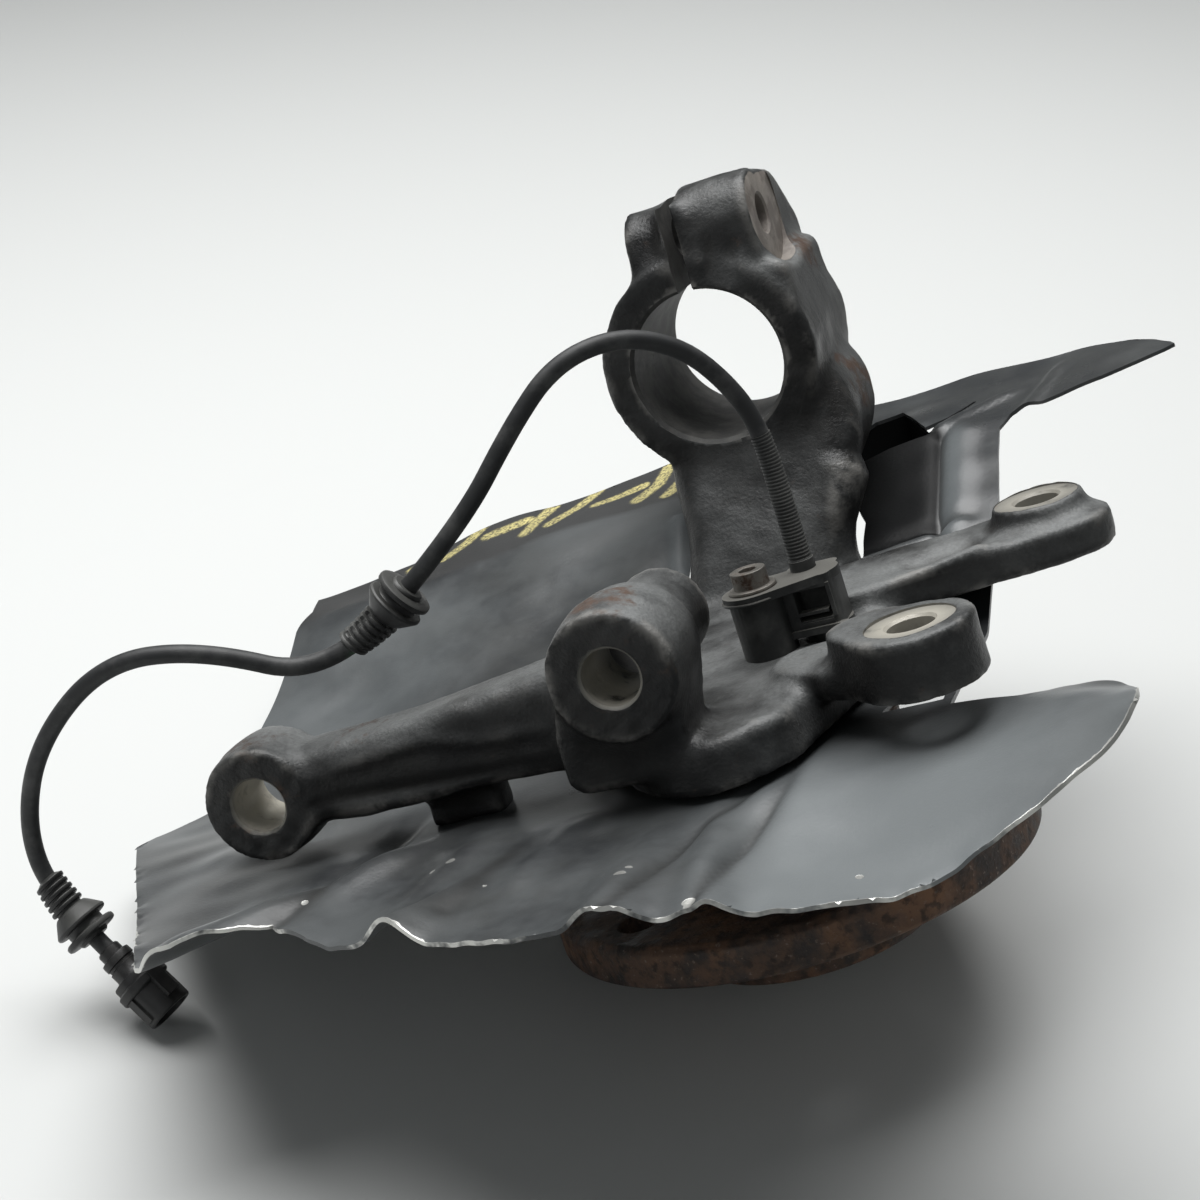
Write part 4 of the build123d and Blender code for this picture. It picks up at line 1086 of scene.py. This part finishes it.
# the lip of the tear is turned down
lip_run = ((22.0, 112.0, 16.0), (30.8, 125.5, 25.0), (39.9, 129.4, 26.0), (45.5, 117.6, 16.0),
           (51.2, 105.6, 8.0), (58.0, 110.4, 7.0), (65.2, 121.8, 4.0))
lip_flat = np.array([(x, y) for x, y, _ in lip_run])
lip_z = sheet_rise(lip_flat)
first = len(sheet_flat)
sheet_spots = np.vstack([np.column_stack([sheet_flat, sheet_z]), np.column_stack([lip_flat, lip_z - 0.2]),
                         np.column_stack([lip_flat + (0.0, 1.5), lip_z - [drop for *_, drop in lip_run]])])
lip_count = len(lip_run)
lip_faces = []
for i in range(lip_count - 1):
    top, low = first + i, first + lip_count + i
    lip_faces += [(top, top + 1, low + 1), (top, low + 1, low)]
sheet_mesh = bpy.data.meshes.new("dust_shield_sheet")
sheet_mesh.from_pydata(to_row(sheet_spots).tolist(), [], sheet_faces.tolist() + lip_faces)
if sheet_mesh.polygons[0].normal.z < 0.0:
    sheet_mesh.flip_normals()
# the turned-down lip takes the painted shade in full: painted black for the shadow it hangs in
for name, values, lip_value in (("bare", bare_steel, 0.0), ("painted_shade", painted_shade, 1.2), ("painted_sheen", painted_sheen, 0.0),
                                ("crease_shade", crease_shade_mask, 0.0), ("marker", yellow, 0.0)):
    paint_mask(sheet_mesh, name, np.append(values, [lip_value] * (2 * lip_count)))
sheet_flat = sheet_spots[:, :2]
# painted shade: the outer strip beyond the fold is painted near black, except at its right end
strip_shade_side = np.clip((sheet_flat[:, 1] - fold_line(sheet_flat[:, 0]) + 1.5) / 3.0, 0.0, 1.0)
paint_mask(sheet_mesh, "strip", strip_shade_side * np.clip((30.0 - sheet_flat[:, 0]) / 12.0, 0.0, 1.0))
# painted sheen: the bent-down front lobe is painted a paler blue grey, less so towards its right end
flap_sheen_side = (np.clip((sheet_flat[:, 0] - 18.0) / 22.0, 0, 1)
             * np.clip((-56.0 - sheet_flat[:, 1]) / 45.0, 0, 1))
flap_sheen_side *= 1.0 - 0.45 * np.clip((sheet_flat[:, 0] - 88.0) / 30.0, 0.0, 1.0)
paint_mask(sheet_mesh, "flap_sheen", flap_sheen_side)
shade(sheet_mesh)
sheet_skin = modified(sheet_mesh, "SOLIDIFY", thickness=sheet_t * MM, offset=-1.0, use_even_offset=False)
sheet_skin.set_sharp_from_angle(angle=math.radians(50.0))
shield = in_scene("dust_shield_sheet", sheet_skin)


def shield_paint():
    """Dark grey semi-gloss paint, dusty, with painted sheen and painted shade in places, flaked to bare
    steel along the knocked edge.
    """
    made, tree, skin = new_material("shield_paint", IOR=1.5)
    grain = place_group(tree, grain_group, Size=900.0, Blotch=38.0)
    wide = place_group(tree, grain_group, Size=260.0, Blotch=14.0)
    cloud = ramp(tree, wide.outputs["Patch"], 0.38, 0.62)
    fine_cloud = ramp(tree, grain.outputs["Patch"], 0.36, 0.66)
    dust = mix(tree, cloud, (0.028, 0.030, 0.032, 1), (0.078, 0.084, 0.086, 1))
    dust = mix(tree, times(tree, fine_cloud, 0.45), dust, (0.060, 0.062, 0.060, 1))
    # painted sheen on the front lobe, paler blue grey
    flap_sheen = attribute(tree, "flap_sheen")
    dust = mix(tree, times(tree, flap_sheen, 0.85), dust, (0.185, 0.200, 0.205, 1))
    # painted highlight, pale blue grey
    dust = mix(tree, times(tree, attribute(tree, "painted_sheen"), 0.7), dust,
               (0.150, 0.165, 0.170, 1))
    # painted shade on the outer strip, near black
    dust = mix(tree, times(tree, attribute(tree, "strip"), 0.85), dust,
               (0.018, 0.018, 0.018, 1))
    # painted shade in the sunk creases
    recess_shade = times(tree, attribute(tree, "crease_shade"), 0.7)
    dust = mix(tree, recess_shade, dust, (0.020, 0.020, 0.019, 1))
    # painted shade, near black: the sunk side right of the neck and the turned-down lip
    painted_shade = attribute(tree, "painted_shade")
    dust = mix(tree, painted_shade, dust, (0.0075, 0.0078, 0.0080, 1))
    marker = times(tree, attribute(tree, "marker"),
                   ramp(tree, grain.outputs["Height"], 0.30, 0.62))
    dust = mix(tree, marker, dust, (0.60, 0.53, 0.22, 1))
    # bare steel where the paint has flaked at the edge
    flake = times(tree, math_node(tree, "SUBTRACT", grain.outputs["Patch"], 0.5), 2.0)
    bare = ramp(tree, plus(tree, flake, attribute(tree, "bare")), 0.60, 0.78)
    tree.links.new(mix(tree, bare, dust, (0.60, 0.60, 0.57, 1)), skin.inputs["Base Color"])
    tree.links.new(times(tree, bare, 0.8), skin.inputs["Metallic"])
    sheen = graded(tree, wide.outputs["Patch"], 0.26, 0.42, 0.3, 0.7)
    matt = plus(tree, sheen,
                times(tree, attribute(tree, "strip"), 0.28))
    tree.links.new(matt, skin.inputs["Roughness"])
    gloss = math_node(tree, "SUBTRACT", 0.5, times(tree, painted_shade, 0.42), clamp=True)
    tree.links.new(gloss, skin.inputs["Specular IOR Level"])
    height = plus(tree, grain.outputs["Height"], times(tree, bare, -1.2))
    bumped(tree, skin, height, 0.00012, 0.5)
    return made


sheet_skin.materials.append(shield_paint())
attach(shield, "knuckle")
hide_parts("dust_shield")

# ======== Shield screws ========
# Three hexagon head screws that hold the sheet against the casting from the wheel's side.
new_piece("shield_screw_set", softened("shield_screws", 0.35), fastener_zinc, "knuckle", "shield_screws")

# ======== Wheel speed sensor ========
# Black nylon moulding with its coil beside a sleeve; a steel bush in the sleeve takes the load of
# a socket head screw. Thin ribs cross the moulded window.
window_ribs = [block((30.5, -26.2, 85.6), (40.4, -22.4, 86.5)),
               block((32.0, -26.2, 82.6), (41.2, -21.6, 83.4)),
               block((41.3, -26.2, 84.0), (42.4, -18.5, 94.0)),
               block((27.4, -27.2, 79.9), (44.8, -24.6, 81.9)),
               turned([(0, 94.2), (9.6, 94.2), (9.75, 94.6), (9.6, 95.0), (0, 95.0)],
                      (20.5, -25.0, 0.0), count=48)]
sensor_plastic = moulded("sensor_plastic", (0.020, 0.021, 0.021), (0.075, 0.076, 0.072), 0.42)


def dusty(material, tone, share):
    """Lays dust on the faces that look up."""
    tree = material.node_tree
    skin = tree.nodes["Principled BSDF"]
    colour = skin.inputs["Base Color"].links[0].from_socket
    facing = add_node(tree, "ShaderNodeSeparateXYZ",
                      {0: add_node(tree, "ShaderNodeTexCoord").outputs["Normal"]})
    amount = times(tree, ramp(tree, facing.outputs["Z"], 0.35, 0.95), share)
    tree.links.new(mix(tree, amount, colour, (*tone, 1)), skin.inputs["Base Color"])
    return material


dusty(sensor_plastic, (0.150, 0.146, 0.132), 0.8)
new_piece("sensor_moulding", softened("sensor_body", 0.35, 40.0, window_ribs), sensor_plastic, "knuckle",
          "sensor_body")
screw_steel = dusty(dull_zinc("screw_steel", 0.35), (0.17, 0.165, 0.15), 0.5)
bush_flange = turned([(3.3, 96.5), (6.9, 96.5), (7.1, 96.8), (7.0, 97.4), (6.6, 97.6), (3.3, 97.6)],
                     (20.5, -25.0, 0.0), count=48)
new_piece("sensor_bush_steel", softened("sensor_bush", 0.2, 40.0, [bush_flange]), screw_steel, "knuckle",
          "sensor_bush")
new_piece("sensor_screw_steel", softened("sensor_screw", 0.35), screw_steel, "knuckle", "sensor_screw")

# ======== Ribbed boot ========
# Moulded rubber strain relief on the sensor's end of the cable: a short collar and close rings
# that let it bend.


def sleeve(spots, radii, name, count=28):
    """A tube through the spots with a radius at each, as a mesh in the resting frame."""
    shape = bmesh.new()
    across = None
    rings = []
    for i, (spot, radius) in enumerate(zip(spots, radii)):
        way = (spots[min(i + 1, len(spots) - 1)] - spots[max(i - 1, 0)]).normalized()
        across = (way.orthogonal() if across is None else across - way * across.dot(way)).normalized()
        other = way.cross(across)
        rings.append([shape.verts.new(spot + radius * (math.cos(2 * math.pi * k / count) * across
                                                       + math.sin(2 * math.pi * k / count) * other))
                      for k in range(count)])
    for low, high in zip(rings, rings[1:]):
        for k in range(count):
            shape.faces.new((low[k], low[(k + 1) % count], high[(k + 1) % count], high[k]))
    shape.faces.new(rings[0][::-1])
    shape.faces.new(rings[-1])
    made = shape_mesh(shape, name)
    shade(made, 50.0)
    return made


boot_spots, boot_radii = [], []
boot_low = Vector(to_row([(33.5, -15.0, 96.5)])[0])
boot_high = cable_points[0]
boot_run = (boot_high - boot_low).length
boot_total = boot_run + 0.013
collar_r, collar_length = 3.75, 0.0030
boot_r, boot_taper = 3.22, 0.40
ring_height, ring_pitch = 0.30, 0.00105
boot_steps = 330
for i in range(boot_steps + 1):
    along = boot_total * i / boot_steps
    boot_spots.append(boot_low.lerp(boot_high, along / boot_run) if along < boot_run
                      else cable_at(along - boot_run)[0])
    if along < collar_length:
        radius = collar_r
    else:
        ring = 0.5 + 0.5 * math.cos(2 * math.pi * along / ring_pitch)
        radius = boot_r - boot_taper * (along / boot_total)
        radius += ring_height * ring ** 0.7 * (1.0 - 0.35 * along / boot_total)
    boot_radii.append(radius * MM)
boot_rubber = dusty(moulded("boot_rubber", (0.020, 0.021, 0.021), (0.055, 0.056, 0.054), 0.5),
                    (0.10, 0.10, 0.09), 0.5)
new_piece("sensor_boot_rubber", sleeve(boot_spots, boot_radii, "sensor_boot_rubber"), boot_rubber, "knuckle",
          "sensor_boot")

# ======== Cable grommets ========
# Two rubber grommets that clip into brackets on the car: a round lip, the groove for the
# bracket, a cone and a ringed tail.
grommet_rubber = dusty(moulded("grommet_rubber", (0.012, 0.012, 0.0125), (0.040, 0.041, 0.040), 0.42),
                       (0.085, 0.086, 0.080), 0.6)


def cable_nearest(point):
    """How far along the cable's line the place nearest to a point is."""
    gaps = [(spot - point).length for spot in cable_points]
    return float(cable_marks[int(np.argmin(gaps))])


# piece, CAD node, rings on the tail, which way the tail points, step back of its seat, notched or not
grommets = (("grommet_upper", "cable_grommet_upper", 6, 1.0, 0.0048, True),
            ("grommet_lower", "cable_grommet_lower", 5, -1.0, 0.0015, False))
ring_step, notch_r = 2.1, 4.45
for name, node, rings, tail_way, step_back, notched in grommets:
    low, high = (Vector(corner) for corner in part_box(node))
    seat = cable_nearest((low + high) / 2) - tail_way * step_back
    profile = [(2.72, -4.6), (4.4, -4.6), (4.9, -4.1), (5.0, -3.5), (7.9, -3.4), (8.45, -3.1), (8.6, -2.5),
               (8.5, -1.8), (8.0, -1.4), (6.2, -1.2), (6.0, -0.9), (6.0, 0.7), (6.2, 1.0), (8.2, 1.1),
               (8.65, 1.5), (8.7, 2.1), (8.3, 2.7), (5.9, 6.0), (5.3, 6.6)]
    for ring in range(rings):
        start = 6.9 + ring_step * ring
        outer = 5.45 - 0.14 * ring
        profile += [(4.35, start), (4.35, start + 0.7), (outer - 0.15, start + 0.8), (outer, start + 1.0),
                    (outer, start + 1.7), (outer - 0.2, start + 1.95)]
    profile += [(4.2, 6.9 + ring_step * rings), (3.1, 7.6 + ring_step * rings),
                (2.72, 7.7 + ring_step * rings)]
    spots = [cable_at(seat + tail_way * along * MM)[0] for _, along in profile]
    centre_spot, centre_way = cable_at(seat)
    axis_spots = [centre_spot + centre_way * tail_way * along * MM for _, along in profile]
    shape = bmesh.new()
    across = centre_way.orthogonal().normalized()
    other = centre_way.cross(across)
    count = 48
    loops = []
    for (radius, along), straight, curved in zip(profile, axis_spots, spots):
        # the tail follows the cable's bend, the lip stands square on it
        middle = straight.lerp(curved, min(1.0, max(0.0, (along - 3.0) / 6.0)))
        loop = []
        for k in range(count):
            here = notch_r if notched and along > 7.0 and radius > 4.8 and k % 12 < 3 else radius
            loop.append(shape.verts.new(middle + here * MM * (math.cos(2 * math.pi * k / count) * across
                                                              + math.sin(2 * math.pi * k / count) * other)))
        loops.append(loop)
    for first, second in zip(loops, loops[1:] + loops[:1]):
        for k in range(count):
            shape.faces.new((first[k], first[(k + 1) % count], second[(k + 1) % count], second[k]))
    bmesh.ops.recalc_face_normals(shape, faces=shape.faces)
    grommet_mesh = shape_mesh(shape, name)
    shade(grommet_mesh, 38.0)
    new_piece(name, grommet_mesh, grommet_rubber, "knuckle", node)

# ======== Cable plug ========
# Round two-pin plug in black nylon: a clamped neck, a grip ring, a keyed barrel with a latch
# lug, and the two brass pins down in its mouth.
plug_spot = Vector(cable_route[-1])
plug_way = (plug_spot - Vector(cable_route[-2])).normalized()
plug_shape = turned([(0, -2.5), (3.4, -2.5), (3.7, -2.0), (3.7, 0.2), (4.9, 0.7), (5.0, 1.2), (5.0, 3.0),
                     (4.5, 3.3), (4.5, 4.1), (5.0, 4.4), (5.0, 7.2), (5.4, 7.9), (7.3, 8.3), (7.5, 8.8),
                     (7.5, 10.7), (8.2, 11.0), (8.5, 11.4), (8.5, 13.6), (8.2, 14.0), (7.5, 14.3),
                     (7.5, 23.5), (7.1, 24.0), (6.1, 24.0), (6.0, 23.6), (6.0, 15.2), (0, 15.2)], count=56)
for side in (-1.0, 1.0):
    for part in (block((side * 2.0 - 0.8, -0.8, 15.0), (side * 2.0 + 0.8, 0.8, 22.0)),
                 block((side * 7.2 - 0.9, -1.6, 14.2), (side * 7.2 + 0.9, 1.6, 22.5))):
        plug_shape.from_mesh(shape_mesh(part, "plug_part"))
plug_shape.from_mesh(shape_mesh(block((-2.2, 6.9, 12.0), (2.2, 8.9, 21.0)), "plug_latch"))
plug_turn = plug_way.to_track_quat("Z", "Y").to_matrix().to_4x4()
plug_shape.transform(Matrix.Translation(plug_spot) @ plug_turn @ Matrix.Diagonal((MM, MM, MM, 1.0)))
plug_mesh = shape_mesh(plug_shape, "cable_plug_moulding")
shade(plug_mesh, 30.0)
new_piece("cable_plug_moulding", plug_mesh,
          moulded("plug_plastic", (0.011, 0.011, 0.011), (0.035, 0.034, 0.032), 0.4),
          "knuckle", "cable_plug")
